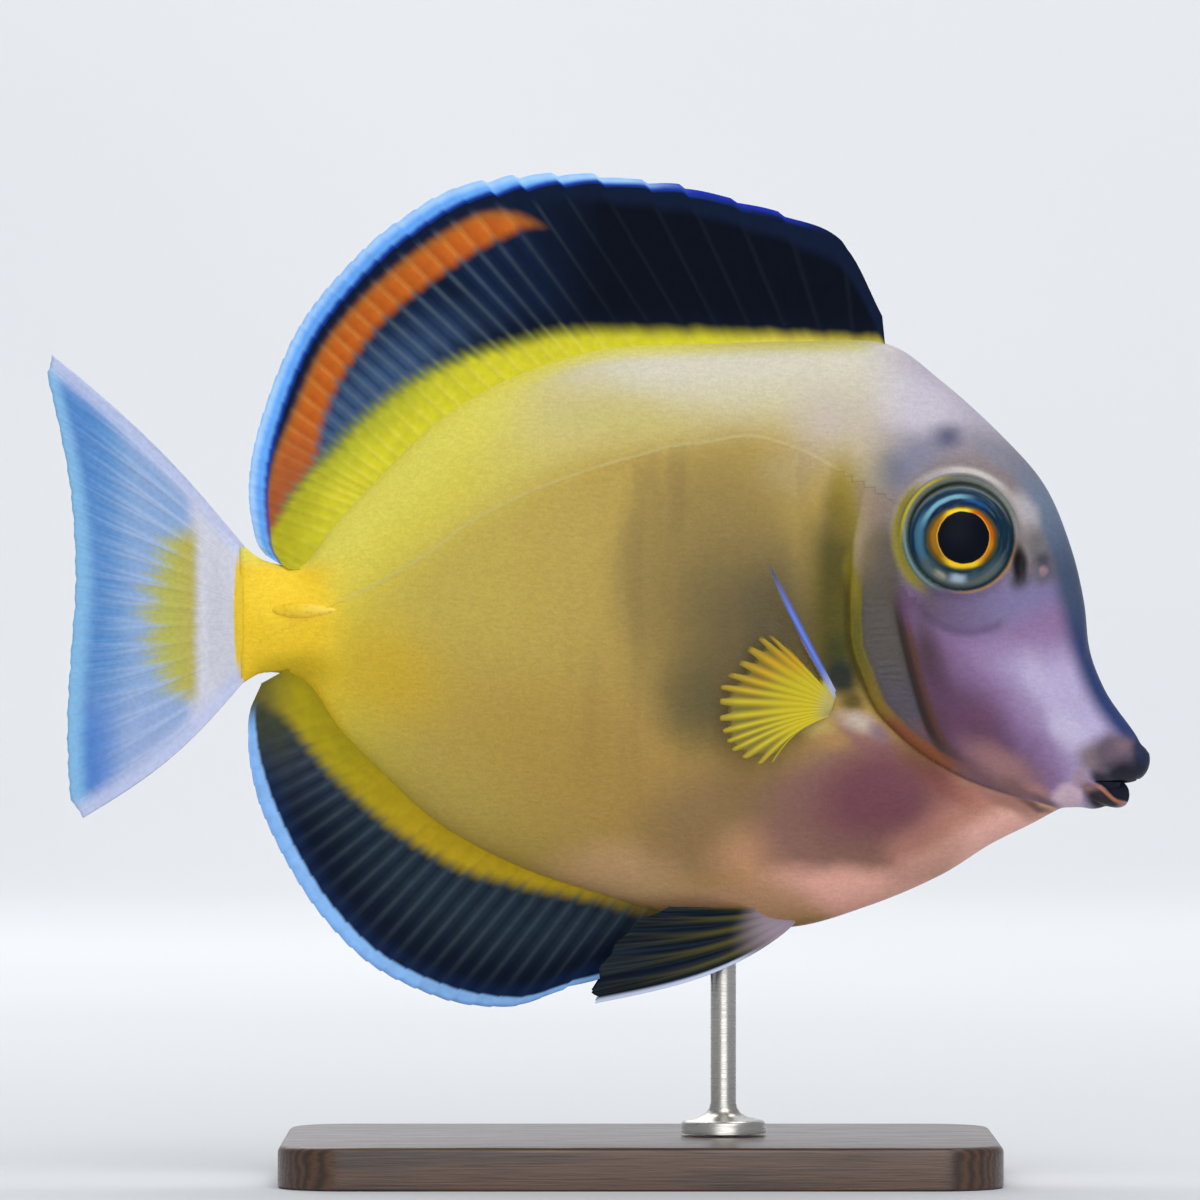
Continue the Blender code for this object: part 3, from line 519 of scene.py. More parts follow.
def smooth_rows(rows, at):
    """Values of a table at many places between its rows: a cubic through them. The first column is the place."""
    table = np.array(rows, dtype=float)
    knots, values = table[:, 0], table[:, 1:]
    at = np.clip(np.asarray(at, dtype=float), knots[0], knots[-1])
    i = np.clip(np.searchsorted(knots, at, side="right") - 1, 0, len(knots) - 2)
    step = np.diff(knots)[:, None]
    rise = np.diff(values, axis=0) / step
    slope = np.empty_like(values)
    slope[0], slope[-1] = rise[0], rise[-1]
    slope[1:-1] = (rise[:-1] * step[1:] + rise[1:] * step[:-1]) / (step[:-1] + step[1:])
    span = step[i]
    t = (at - knots[i])[:, None] / span
    a, b = slope[i] * span, slope[i + 1] * span
    return values[i] * (1 + 2 * t) * (1 - t) ** 2 + a * t * (1 - t) ** 2 + values[i + 1] * t * t * (3 - 2 * t) - (
        b * t * t * (1 - t)
    )


def ease(value, low, high):
    t = np.clip((value - low) / (high - low), 0, 1)
    return t * t * (3 - 2 * t)


def bell(value, wide):
    """One where the value is none, next to nothing at twice the width on both sides."""
    return np.exp(-((value / wide) ** 2))


def curve(points, steps=4):
    """A smooth line through a few points."""
    at = np.linspace(0, len(points) - 1, (len(points) - 1) * steps + 1)
    return smooth_rows([(i, *point) for i, point in enumerate(points)], at)


def line_distance(x, z, line):
    """Distance to a line of points, signed by its side (positive to the left as it runs), and how far along it."""
    line = np.array(line, dtype=float)
    best = np.full(x.shape, 1e9)
    signed, along = np.zeros(x.shape), np.zeros(x.shape)
    lengths = np.hypot(*np.diff(line, axis=0).T)
    before = np.concatenate(([0], np.cumsum(lengths)))
    for k in range(len(line) - 1):
        ax, az = line[k]
        dx, dz = line[k + 1] - line[k]
        t = np.clip(((x - ax) * dx + (z - az) * dz) / (dx * dx + dz * dz), 0, 1)
        far = np.hypot(x - ax - t * dx, z - az - t * dz)
        side = dx * (z - az) - dz * (x - ax)
        nearer = far < best
        best = np.where(nearer, far, best)
        signed = np.where(nearer, np.where(side >= 0, far, -far), signed)
        along = np.where(nearer, (before[k] + t * lengths[k]) / before[-1], along)
    return signed, along


def place(x, z, y=0.0):
    """A point from a table's millimetres, in metres above the floor."""
    return Vector((x * MM, y * MM, z * MM + AXIS_HEIGHT))


def table_place(points):
    """x, y and z of many points in the tables' millimetres."""
    return points[:, 0] / MM, points[:, 1] / MM, (points[:, 2] - AXIS_HEIGHT) / MM


def get_points(form):
    return np.array([vert.co for vert in form.verts])


def set_points(form, points):
    for vert, point in zip(form.verts, points):
        vert.co = point


def lay_points(form, *columns):
    """Moves a bmesh's points to places in the tables' millimetres."""
    set_points(form, np.stack(columns, axis=1) * MM + np.array((0, 0, AXIS_HEIGHT)))


def mark(piece, name, values):
    """Writes a number for each point of a piece, for its material to read."""
    layer = piece.data.attributes.new(name, "FLOAT", "POINT")
    layer.data.foreach_set("value", np.asarray(values, dtype=np.float32))


def mesh_points(piece):
    points = np.empty(len(piece.data.vertices) * 3, dtype=np.float32)
    piece.data.vertices.foreach_get("co", points)
    return points.reshape(-1, 3).astype(float)


def add_object(name, form, material=None):
    """An object in the scene from a finished bmesh, smooth and painted if it has a material."""
    mesh = bpy.data.meshes.new(name)
    form.to_mesh(mesh)
    form.free()
    if material:
        mesh.shade_smooth()
        mesh.materials.append(material)
    made = bpy.data.objects.new(name, mesh)
    bpy.context.scene.collection.objects.link(made)
    return made


def make_piece(name, form, material, nodes, slot, **marks):
    """Turns a finished bmesh into a piece of the model that stands for CAD nodes, with its marks on it."""
    bmesh.ops.recalc_face_normals(form, faces=form.faces)
    piece = add_object(name, form, material)
    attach(piece, "root")
    if nodes:
        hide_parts(*nodes)
    for mark_name, values in marks.items():
        mark(piece, mark_name, values)
    return piece


def mark_lines(piece, **lines):
    """Leaves on a piece how far each point lies from some lines, signed by their sides."""
    x, _, z = table_place(mesh_points(piece))
    for name, line in lines.items():
        mark(piece, name, line_distance(x, z, curve(line))[0])


def in_order(form):
    """The same mesh with its points and faces sorted, since Blender's tools leave them in a new order each run."""
    points = sorted(form.verts, key=lambda vert: tuple(vert.co))
    number = {vert: k for k, vert in enumerate(points)}
    faces = sorted([number[vert] for vert in face.verts] for face in form.faces)
    made = bmesh.new()
    verts = [made.verts.new(vert.co) for vert in points]
    for face in faces:
        made.faces.new([verts[k] for k in face])
    form.free()
    return made


def scratch_object(form):
    bmesh.ops.recalc_face_normals(form, faces=form.faces)
    return add_object("scratch", form)


def combined(target, other, operation):
    """The bmesh of one Boolean of two scratch objects, which are removed."""
    modifier = target.modifiers.new("combine", "BOOLEAN")
    modifier.operation = operation
    modifier.object = other
    bpy.context.view_layer.update()
    graph = bpy.context.evaluated_depsgraph_get()
    form = bmesh.new()
    form.from_mesh(bpy.data.meshes.new_from_object(target.evaluated_get(graph)))
    for scratch in (target, other):
        bpy.data.objects.remove(scratch, do_unlink=True)
    if not form.faces:
        raise RuntimeError("a Boolean left nothing")
    return form


def eye_frame(side):
    """Middle of the eyeball, the way it faces, and the turn that lays a Z axis along that."""
    low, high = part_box("eye_left" if side > 0 else "eye_right")
    middle = (Vector(low) + Vector(high)) / 2
    faces = Vector((EYE_FACES.x, EYE_FACES.y * side, EYE_FACES.z))
    return middle, faces, faces.to_track_quat("Z", "Y").to_matrix()


def flesh_points(rung, turn, side):
    """Points of the plain flesh: turn is 0 on the back and half a turn on the belly."""
    back_x, back_z, belly_x, belly_z, half = smooth_rows(RUNGS, rung).T
    up = np.cos(turn)
    x = (back_x + belly_x) / 2 + (back_x - belly_x) / 2 * up
    z = (back_z + belly_z) / 2 + (back_z - belly_z) / 2 * up
    y = np.abs(np.sin(turn)) ** FLANK_FULLNESS * half * side
    return np.stack((x, y, z), axis=1)


def flesh_form(around, rings):
    """The whole body as a globe whose rings become the body's sections, finer where the head has detail."""
    form = bmesh.new()
    bmesh.ops.create_uvsphere(form, u_segments=around, v_segments=rings + 1, radius=1)
    rung, turn, side = (form.verts.layers.float.new(name) for name in ("rung", "turn", "side"))
    shares, rungs = zip(*RING_SPREAD)
    for vert in form.verts:
        ring = math.acos(max(-1.0, min(1.0, vert.co.z))) / math.pi * (rings + 1)
        vert[rung] = float(np.interp((ring - 1) / (rings - 1), shares, rungs))
        vert[turn] = abs(math.atan2(vert.co.y, vert.co.x))
        vert[side] = 1.0 if vert.co.y >= 0 else -1.0
        if ring < 0.5:
            vert[rung] = TAIL_POLE
        elif ring > rings + 0.5:
            vert[rung] = SNOUT_POLE
    lay_flesh(form)
    fine = [face for face in form.faces if wants_detail(face.calc_center_median())]
    edges = list({edge for face in fine for edge in face.edges})
    bmesh.ops.subdivide_edges(form, edges=edges, cuts=1, use_grid_fill=True)
    side = form.verts.layers.float["side"]
    for vert in form.verts:
        vert[side] = 1.0 if vert.co.y >= 0 else -1.0
    lay_flesh(form)
    return form


def wants_detail(point):
    x, z = point.x / MM, (point.z - AXIS_HEIGHT) / MM
    if abs(point.y) < 1.5 * MM:
        return False
    if any(math.hypot(x - at_x, z - at_z) < radius for at_x, at_z, radius in FINE_SPOTS):
        return True
    if not 28.0 < x < 52.0 or z > 14:
        return False
    here = (np.array([x]), np.array([z]))
    near_gill = abs(float(line_distance(*here, GILL_EDGE)[0][0])) < 1.6
    return near_gill or abs(float(line_distance(*here, CHEEK_GROOVE)[0][0])) < 1.4


def lay_flesh(form):
    """Puts every point on the flesh by the rung, turn and side that it carries."""
    layers = [form.verts.layers.float[name] for name in ("rung", "turn", "side")]
    rung, turn, side = (np.array([vert[layer] for vert in form.verts]) for layer in layers)
    points = flesh_points(rung, turn, side)
    low = smooth_rows(RUNGS, [0])[0]
    points[rung == TAIL_POLE] = ((low[0] + low[2]) / 2, 0, (low[1] + low[3]) / 2)
    points[rung == SNOUT_POLE] = (SNOUT_TIP[0], 0, SNOUT_TIP[1])
    lay_points(form, *points.T)


def sculpt_flesh(form, shape):
    """Raises and sinks the skin: gill cover, cheek groove, folds, nostrils, eyelids and sockets."""
    points = get_points(form)
    x, y, z = table_place(points)
    side = np.where(y >= 0, 1.0, -1.0)
    free = ease(np.abs(y), 0.6, 2.2)

    edge, along = line_distance(x, z, curve(GILL_EDGE))
    open_here = ease(along, GILL_OPENING_START - 0.06, GILL_OPENING_START + 0.06) * (
        1 - ease(along, GILL_OPENING_END - 0.24, GILL_OPENING_END)
    )
    behind = -shape.gill_step / MM * (1 - ease(-edge, 0.0, 6.0)) * (edge < 0)
    slit = -0.2 * bell(edge + 0.24, 0.26) * (edge < 0.1) * (1 - 0.8 * ease(along, 0.62, 0.75))
    strip = 0.2 * np.sin(np.pi * np.clip(edge / 1.6, 0, 1)) - 0.08 * bell(edge - 1.75, 0.3)
    lift = (behind + slit + strip) * open_here

    groove, share = line_distance(x, z, curve(CHEEK_GROOVE))
    sunk = np.sin(np.pi * np.clip(share, 0.03, 0.97)) ** 0.6
    lift -= shape.groove_depth / MM * bell(groove, 0.7) * sunk
    lift += 0.2 * bell(groove - 1.4, 0.9) * np.sin(np.pi * np.clip(share, 0.02, 0.98))
    fold, share = line_distance(x, z, curve(CHEEK_FOLD))
    lift -= 0.16 * bell(fold, 0.45) * np.sin(np.pi * share)
    for at_x, at_z, half_x, half_z, depth in NOSTRILS:
        far = ((x - at_x) / half_x) ** 2 + ((z - at_z) / half_z) ** 2
        lift += 0.12 * bell(np.sqrt(far) - 1.5, 0.4) - depth * np.exp(-(far ** 1.5))
    points[:, 1] += lift * free * side * MM

    for _, sign in SIDES:
        middle, faces, turn = eye_frame(sign)
        local = (points - np.array(middle)) @ np.array(turn)
        flat = np.hypot(local[:, 0], local[:, 1]) / MM
        near = (side == sign) & (flat < 12) & (x > 28)
        height = local[:, 2] / MM - EYE_SUNK
        up, front = lid_directions(points, middle)
        reach = 6.55 + 0.55 * np.clip(up, 0, 1) + 0.25 * np.clip(-front, 0, 1)
        lid = shape.lid_height / MM * bell(flat - reach, 0.62)
        lid += 0.22 * np.clip(up, 0, 1) * bell(flat - 8.2, 0.7)
        brow = -0.25 * bell(flat - reach - 1.15, 0.5) * np.clip(up + 0.2, 0, 1)
        ball = EYE_DEPTH * np.sqrt(np.clip(1 - (np.minimum(flat, 6.7) / EYE_RADIUS) ** 2, 0, 1))
        socket = -(EYE_SUNK + ball + 0.35) * (1 - ease(flat, 5.75, 6.3))
        change = (lid + brow + socket - height * (1 - ease(flat, 5.2, 6.2))) * near
        points += np.outer(change * MM, np.array(faces))
    set_points(form, points)


def lid_directions(points, middle):
    """How far up and how far forward each point lies of the eye's middle, as shares of one."""
    offset = points - np.array(middle)
    length = np.maximum(np.hypot(offset[:, 0], offset[:, 2]), 1e-6)
    return offset[:, 2] / length, offset[:, 0] / length


def lip_form(lip):
    """A globe pressed into a pad, thickest at the front of the mouth and thin at its corners."""
    front_x, front_z, front_half, corner_x, corner_z, corner_half, half_width = lip
    form = bmesh.new()
    bmesh.ops.create_uvsphere(form, u_segments=96, v_segments=52, radius=1)
    for vert in form.verts:
        flat = math.hypot(vert.co.x, vert.co.y)
        spread = flat ** LIP_BLUNTNESS
        ahead, aside = (vert.co.x / flat, vert.co.y / flat) if flat > 1e-6 else (0.0, 0.0)
        reach = front_x - corner_x if ahead > 0 else LIP_BACK
        share = max(ahead * spread, 0.0) ** 0.7
        z = corner_z + (front_z - corner_z) * share + vert.co.z * (corner_half + (front_half - corner_half) * share)
        vert.co = place(corner_x + reach * ahead * spread, z, half_width * aside * spread)
    return form


def mouth_form():
    """A wedge that opens the mouth forwards from its corners and leaves a wall standing inside it."""
    corner_x, corner_z, front_x, low_z, top_z, wall_x = MOUTH
    plan = ((corner_x, -8), (front_x, -8), (front_x, 8), (corner_x, 8), (corner_x, 1.0), (wall_x, 0.7),
            (wall_x, -0.7), (corner_x, -1.0))
    form = bmesh.new()
    face = form.faces.new([form.verts.new(place(x, 0, y)) for x, y in plan])
    made = bmesh.ops.extrude_face_region(form, geom=[face], use_keep_orig=True)["geom"]
    upper = {v for v in made if isinstance(v, bmesh.types.BMVert)}
    for vert in form.verts:
        share = (vert.co.x / MM - corner_x) / (front_x - corner_x)
        front_z = top_z if vert in upper else low_z
        vert.co.z = place(0, corner_z + (front_z - corner_z) * share).z + (0.01 * MM if vert in upper else 0)
    return form


def inside(x, z, box):
    low_x, high_x, low_z, high_z = box
    return low_x < x < high_x and low_z < z < high_z


def soften_lips(form):
    """Draws the lips into the snout where they meet, then sinks the open mouth behind the lower lip's rim."""
    near, crease = [], []
    for vert in form.verts:
        x, z = vert.co.x / MM, (vert.co.z - AXIS_HEIGHT) / MM
        if inside(x, z, LIP_JOIN) and not inside(x, z, SLIT_EDGES):
            near.append(vert)
        if inside(x, z, LIP_CREASE):
            crease.append(vert)
    for verts, times in ((near, 6), (crease, 24)):
        for _ in range(times):
            bmesh.ops.smooth_vert(form, verts=verts, factor=0.5, use_axis_x=True, use_axis_y=True, use_axis_z=True)
    points = get_points(form)
    x, y, z = table_place(points)
    rim = line_distance(x, z, curve(MOUTH_RIM))[0]
    here = ease(x, 57.4, 58.6) * (1 - ease(z, -18.75, -18.55)) * ease(z, -23.5, -21.5)
    change = 0.16 * bell(rim, 0.3) - 0.6 * ease(rim, 0.05, 0.6)
    points[:, 1] += change * here * np.clip(y, -1, 1) * MM
    set_points(form, points)


def paint_lids(skin, colour, colours):
    """The skin round the eye: a clear fold over it, a pale lid with a painted highlight above and in front, and
    yellow behind.
    """
    far, up, front = map(skin.attribute, ("lid_far", "lid_up", "lid_front"))
    above = up.ease(-0.1, 0.5)
    colour.lay(colours.eyelid, far.ease(8.9, 7.9) * above * 0.6)
    colour.lay((134, 124, 46), front.ease(-0.4, -0.8) * far.ease(8.8, 7.8))
    behind = front.ease(-0.2, -0.7)
    colour.lay((66, 92, 98), far.ease(7.3, 7) * behind)
    colour.lay((104, 128, 128), (far - 6.85).band(0.3) * behind)
    # A painted highlight: a near-white band on the lid above and in front of the eye.
    lid_highlight = (far - 7.9).band(0.6, 0.1) * (front - 0.25).band(0.6, 0.15) * above
    colour.lay((204, 198, 192), lid_highlight * 0.8)
    fold = skin.blend((112, 116, 104), (116, 122, 116), front.ease(-0.2, 0.6))
    colour.lay(fold, far.ease(7.35, 7.15) * above)
    dark = (far - 7.3).band(0.4, 0.05, 0.55) * above * front.ease(0.75, 0.3, 0.2, 1)
    colour.lay((62, 68, 78), dark)
    yellow = (far - 7.15).band(0.3) * front.ease(0, -0.5) * up.ease(-0.2, 0.4)
    colour.lay((172, 160, 48), yellow)
    colour.lay((52, 66, 66), far.ease(6.75, 6.35) * 0.85)
    colour.lay((164, 116, 62), (far - 6.6).band(0.25) * up.ease(0.1, -0.4) * front.ease(-0.3, 0.3) * 0.8)


def skin_finish(shape, colours):
    """Scaled skin: mustard flank, cream back, yellow stalk, plum and lilac head."""
    skin = Finish("scaled_skin", coat=0.03, coat_roughness=0.2, specular=0.12)
    spot = skin.place()
    red, _, blue = skin.split(skin.noise(spot, 0.12, 3, out="Color"), "SeparateColor", "Color")
    x, _, z = skin.split(spot)
    x = x + (red - 0.5) * 3
    z = z + (blue - 0.5) * 3
    near = skin.join(x, 0, z)
    line, gill, groove, fold, back, ridge, cheek_edge, opening = map(skin.attribute, (
        "side_line", "gill_edge", "cheek_groove", "cheek_fold", "from_back", "snout_ridge", "cheek_edge", "opening",
    ))

    body = skin.blend(colours.flank, colours.lower_flank, z.ease(2, -20))
    body.lay(colours.upper_flank, line.ease(-1, 5, 0, 0.75))
    body.lay(colours.rear, x.ease(8, -20) * line.ease(-3, 4, 0.35, 1))
    body.lay((216, 196, 66), x.ease(-18, -34))
    body.lay(colours.back, back.ease(14, 1.5) * x.ease(-16, 8))
    body.lay((222, 214, 96), back.ease(9, 1, 0, 0.8) * x.ease(-2, -14))
    body.lay_patches(BODY_PATCHES, near)
    bars = skin.noise(skin.scaled(near, 1, 0, 0.08), 0.35, 1).ease(0.45, 0.7)
    bars = bars * x.ease(29, 20) * z.ease(-24, -12)
    body.lay((120, 98, 60), bars * x.ease(-8, 6, 0, 0.28) * line.ease(2, -3))
    body.lay((196, 184, 128), line.band(0.3, 0.06, 0.36))
    # A band along the back at the dorsal fin's root: partly the yellow of the fin's base running onto the body,
    # partly painted light that lifts the shade in the crease where the fin meets the back.
    seam_yellow_and_light = skin.blend((222, 212, 92), (200, 190, 96), x.ease(4, 22))
    body.lay(seam_yellow_and_light, back.ease(2.4, 0.2, 0, 0.9) * x.ease(34, 30))
    body.lay(colours.stalk, x.ease(-27.5, -34.5) * z.ease(8.5, 5.5))
    # Partly the stalk's own bright yellow, partly a painted highlight round the tail spine.
    body.lay((250, 212, 56), near.patch(-37, 2.5, 8, 4.6, -8, 0.3, 0.9))
    body.lay((196, 166, 24), near.patch(-35, -5.6, 8, 3.2, 0, 0.1, 0.8))

    blur = cheek_edge + (skin.noise(spot, 0.3, 3) - 0.5) * 2
    cheek = skin.blend((94, 64, 92), (110, 80, 88), z.ease(-13.5, -17.5))
    cheek.lay((140, 112, 154), blur.ease(-5.2, 1.6))
    cheek.lay((184, 171, 208), blur.ease(-0.6, 5.6) * z.ease(-0.5, -7))
    under_eye = skin.blend((94, 78, 104), (124, 116, 156), x.ease(39, 50))
    cheek.lay(under_eye, fold.ease(-2.4, 1.4, 0, 0.9))
    head = skin.blend(cheek, colours.head, z.ease(3.5, 7.5))
    head.lay((176, 168, 184), z.ease(17, 25))
    slate = skin.blend(colours.snout, (64, 80, 106), z.ease(-5, 4))
    slate.lay((108, 122, 146), z.ease(5, 15))
    head.lay(slate, ridge.ease(-1.7, 0.8, 0, 0.97) * z.ease(25, 13))
    plate = skin.blend((84, 78, 74), (82, 76, 86), z.ease(-3, -9))
    plate.lay((104, 80, 86), z.ease(-10, -14))
    head.lay(plate, groove.ease(0.3, -0.6) * z.ease(6.5, 2.5) * x.ease(42, 39))
    head.lay_patches(HEAD_PATCHES, near)
    faded = skin.attribute("groove_end")
    head.lay((100, 68, 50), (groove - 0.6).band(0.95, 0.1, 0.75) * faded * z.ease(2, -2))
    # Painted shade: the dark brown line along the cheek groove.
    head.lay((46, 36, 28), (groove + 0.1).band(0.75, 0.1, 0.9) * faded)
    folded = (fold + 0.1).band(0.9, 0.05, 0.4) * x.ease(48.8, 46.5) * x.ease(36, 38)
    head.lay((72, 50, 84), folded)
    ragged = gill + (skin.noise(spot, 0.6, 2) - 0.5) * 0.5
    strip = ragged.ease(1.75, 1.1) * opening * x.ease(44.5, 39.5)
    band = skin.blend((92, 86, 16), colours.gill_strip, abs(ragged - 0.8).ease(0.2, 0.6))
    band.lay((122, 98, 30), z.ease(-3, -9))
    band.lay((122, 70, 40), z.ease(-9.5, -13))
    head.lay(band, strip * 0.94)
    head.lay((70, 62, 36), (ragged - 1.7).band(0.4, 0.05, 0.3) * opening * x.ease(44, 38))

    colour = skin.blend(body, head, gill.ease(-0.25, 0.05) * opening + gill.ease(-6, 5) * (1 - opening))
    outside = gill.ease(0.3, -0.3)
    # Painted shade: a dark olive band just behind the gill cover's edge, where the opening under the cover lies in
    # shade.
    olive = gill.ease(-7, -2.4) * outside * z.ease(-11, -5) * z.ease(19, 8)
    colour.lay((74, 68, 14), olive * 0.95)
    colour.lay((124, 110, 20), near.patch(29.6, 5.4, 1.3, 6.5, 2, 0.1, 0.85))
    colour.lay((148, 130, 30), near.patch(29, 14, 2.6, 6.5, 4, 0.1, 0.75))
    colour.lay_patches(GILL_PATCHES, near, outside)
    # Painted shadow: a dark line right under the gill cover's edge.
    colour.lay((50, 44, 20), (gill + 0.2).band(0.42, 0.05, 0.4) * opening * z.ease(-12, -7))
    paint_lids(skin, colour, colours)
    # Painted shade inside the nostril pits.
    colour.lay((16, 17, 22), skin.attribute("nostril"))
    rim = skin.attribute("mouth_rim")
    # Painted shade: the open mouth behind the lower lip's rim is painted near black.
    colour.lay(colours.mouth, rim.ease(0.1, 0.5) * z.ease(-18.2, -18.7) * x.ease(57.8, 58.6))
    colour.lay((176, 112, 84), rim.band(0.36, 0.08, 0.85) * x.ease(57.6, 58.6) * z.ease(-18.5, -18.9))

    speck = skin.noise(spot, 3.4, 3, 0.65).ease(0.3, 0.7, 0.95, 1.045)
    colour.shade(speck * skin.noise(skin.scaled(spot, 1, 1, 2.2), 1.1).ease(0.3, 0.7, 0.955, 1.04))

    scales = skin.value("TexVoronoi", Vector=skin.scaled(spot, 1, 1, 1.35), Scale=MM / shape.scale_size)
    bump = skin.bump(1 - scales, shape.scale_relief, strength=0.9)
    bump = skin.bump(abs(line).ease(0.5, 0), 0.05 * MM, bump)
    pleats = skin.value("TexWave", {"wave_type": "BANDS", "bands_direction": "Z"}, out="Fac", Vector=spot, Scale=0.36,
                        Distortion=5, Detail=2)
    pleated = gill.ease(1.8, 2.3) * gill.ease(5, 4.2) * z.ease(-12, -8) * z.ease(4, 1)
    patchy = skin.noise(spot, 0.35, 1).ease(0.4, 0.6)
    bump = skin.bump(pleats * pleated * patchy, 0.06 * MM, bump)
    rough = skin.noise(spot, 1.6, 2).ease(0.2, 0.8, 0.36, 0.5)
    return skin.feed(Base_Color=colour, Roughness=rough, Normal=bump)


class FISH_OT_skin(bpy.types.Operator):
    """Builds the one skin of head, flank and tail stalk"""

    bl_idname = "fish_model.skin"
    bl_label = "Skin"

    def execute(self, context):
        shape, colours = context.scene.fish_shape, context.scene.fish_colours
        form = in_order(flesh_form(shape.around, shape.rings))
        sculpt_flesh(form, shape)
        for other, operation in ((lip_form(UPPER_LIP), "UNION"), (lip_form(LOWER_LIP), "UNION"),
                                 (mouth_form(), "DIFFERENCE")):
            form = combined(scratch_object(form), scratch_object(in_order(other)), operation)
        bmesh.ops.remove_doubles(form, verts=form.verts, dist=0.004 * MM)
        soften_lips(form)
        bmesh.ops.triangulate(form, faces=[face for face in form.faces if len(face.verts) > 4])
        skin = make_piece("fish_skin", form, skin_finish(shape, colours), ("head", "torso", "tail_stalk"), "torso")
        self.mark_skin(skin)
        return {"FINISHED"}

    def mark_skin(self, skin):
        """Leaves on the skin what its colours follow."""
        mark_lines(
            skin, gill_edge=GILL_EDGE, side_line=LATERAL_LINE[::-1], cheek_edge=CHEEK_EDGE, mouth_rim=MOUTH_RIM,
            cheek_groove=(GROOVE_ABOVE, *CHEEK_GROOVE), cheek_fold=(FOLD_BEHIND, *CHEEK_FOLD, *FOLD_AHEAD),
            snout_ridge=(*SNOUT_RIDGE, *RIDGE_BELOW),
        )
        points = mesh_points(skin)
        x, y, z = table_place(points)
        along = line_distance(x, z, curve(GILL_EDGE))[1]
        mark(skin, "opening", ease(along, GILL_OPENING_START - 0.03, GILL_OPENING_START + 0.06))
        share = line_distance(x, z, curve(CHEEK_GROOVE))[1]
        mark(skin, "groove_end", ease(share, 0.0, 0.2) * (1 - ease(share, 0.62, 0.9)))
        backs = smooth_rows(RUNGS, np.linspace(0, RUNGS[-1][0], 85))[:, 0:2]
        mark(skin, "from_back", np.abs(line_distance(x, z, backs)[0]))
        far, up, front = np.full(x.shape, 30.0), np.zeros(x.shape), np.zeros(x.shape)
        for _, sign in SIDES:
            middle, _, turn = eye_frame(sign)
            local = (points - np.array(middle)) @ np.array(turn)
            here = np.sign(y) == sign
            far = np.where(here, np.hypot(local[:, 0], local[:, 1]) / MM, far)
            directions = lid_directions(points, middle)
            up, front = np.where(here, directions[0], up), np.where(here, directions[1], front)
        # How dark each nostril pit is painted, deeper pits darker: painted shade inside the nostrils.
        nostril_shade = np.zeros(x.shape)
        for at_x, at_z, half_x, half_z, depth in NOSTRILS:
            away = np.sqrt(((x - at_x) / half_x) ** 2 + ((z - at_z) / half_z) ** 2)
            nostril_shade = np.maximum(nostril_shade, (1 - ease(away, 0.5, 1.3)) * max(depth * 1.6, 0.0))
        for name, values in (("lid_far", far), ("lid_up", up), ("lid_front", front), ("nostril", nostril_shade)):
            mark(skin, name, values)


def eye_finish(colours):
    """Eyeball: black pupil, gold ring, and an iris of navy, blue and teal rings with pale spots below."""
    eye = Finish("eyeball", roughness=0.4, specular=0.06)
    across = eye.attribute("across") + EYE_LOOK[0]
    up = eye.attribute("up") + EYE_LOOK[1]
    far = (across * across + up * up) ** 0.5 + 0.001
    front, above = across / far, up / far
    spot = eye.place()
    far = far + (eye.noise(spot, 0.9, 3) - 0.5) * 0.22
    streaks = eye.noise(eye.join(far * 1.6, front * 1.2, above * 1.2), 1.6, 3)

    iris = eye.blend((20, 44, 66), (50, 78, 92), far.ease(4.3, 5.6))
    iris.lay((18, 44, 62), front.ease(0.2, 0.8))
    iris.lay((68, 112, 142), front.ease(-0.5, -0.95) * (far - 5.1).band(0.7, 0.1))
    iris.lay((26, 56, 84), front.ease(-0.5, -0.9) * (far - 5.75).band(0.25))
    iris.lay((12, 32, 66), above.ease(0, 0.6) * far.ease(4.8, 4.3))
    lit = (far - 4.55).band(0.4) * (front - 0.35).band(0.45, 0.1)
    iris.lay((22, 76, 136), lit * above.ease(0.3, 0.7))
    arc = (far - 4.9).band(0.42, 0.06) * above.ease(0.15, 0.75) * front.ease(0.4, -0.15)
    iris.lay((116, 172, 190), arc)
    iris.lay((26, 48, 74), above.ease(0.3, 0.8) * (far - 5.5).band(0.4, 0.1))
    iris.lay((104, 112, 108), above.ease(0.2, 0.7) * far.ease(5.8, 6.1))
    below = above.ease(-0.2, -0.8)
    iris.lay((66, 88, 96), below * far.ease(4, 4.7))
    iris.lay((104, 110, 104), below * (far - 5.3).band(0.6, 0.1) * 0.8)
    pale = (far - 4.75).band(0.75, 0.15) * (front + 0.12).band(0.3) * below
    iris.lay((168, 188, 206), pale)
    tan = (far - 5).band(0.55, 0.1) * (front + 0.52).band(0.2) * below
    iris.lay((160, 156, 138), tan)
    iris.lay(colours.iris, streaks.ease(0.5, 0.8, 0, 0.45))
    iris.lay((34, 46, 46), far.ease(6, 6.4, 0, 0.85))

    ring_end = front * front * (0.48 - front * 0.1) - above * 0.06 + 3.46
    ring = (far - ring_end).ease(0.3, -0.2)
    gold = eye.blend(colours.eye_ring, (194, 122, 26), front.ease(0.35, 0.8))
    gold.lay((150, 108, 26), front.ease(-0.45, -0.85))
    gold.lay((190, 88, 20), (front + above * 0.7).ease(0.8, 1.1))
    gold.lay((120, 70, 20), (far - ring_end).ease(-0.45, 0.05) * abs(front).ease(0.4, 0.8))
    gold.lay((236, 170, 40), far.ease(3.28, 3.08) * abs(front).ease(0.3, 0.7, 0, 0.9))
    iris.lay((78, 84, 30), (far - ring_end).ease(0.6, 0.1, 0, 0.7))
    colour = eye.blend(iris, gold, ring)
    colour.lay((7, 12, 24), far.ease(3.14, 3))
    return eye.feed(Base_Color=colour)


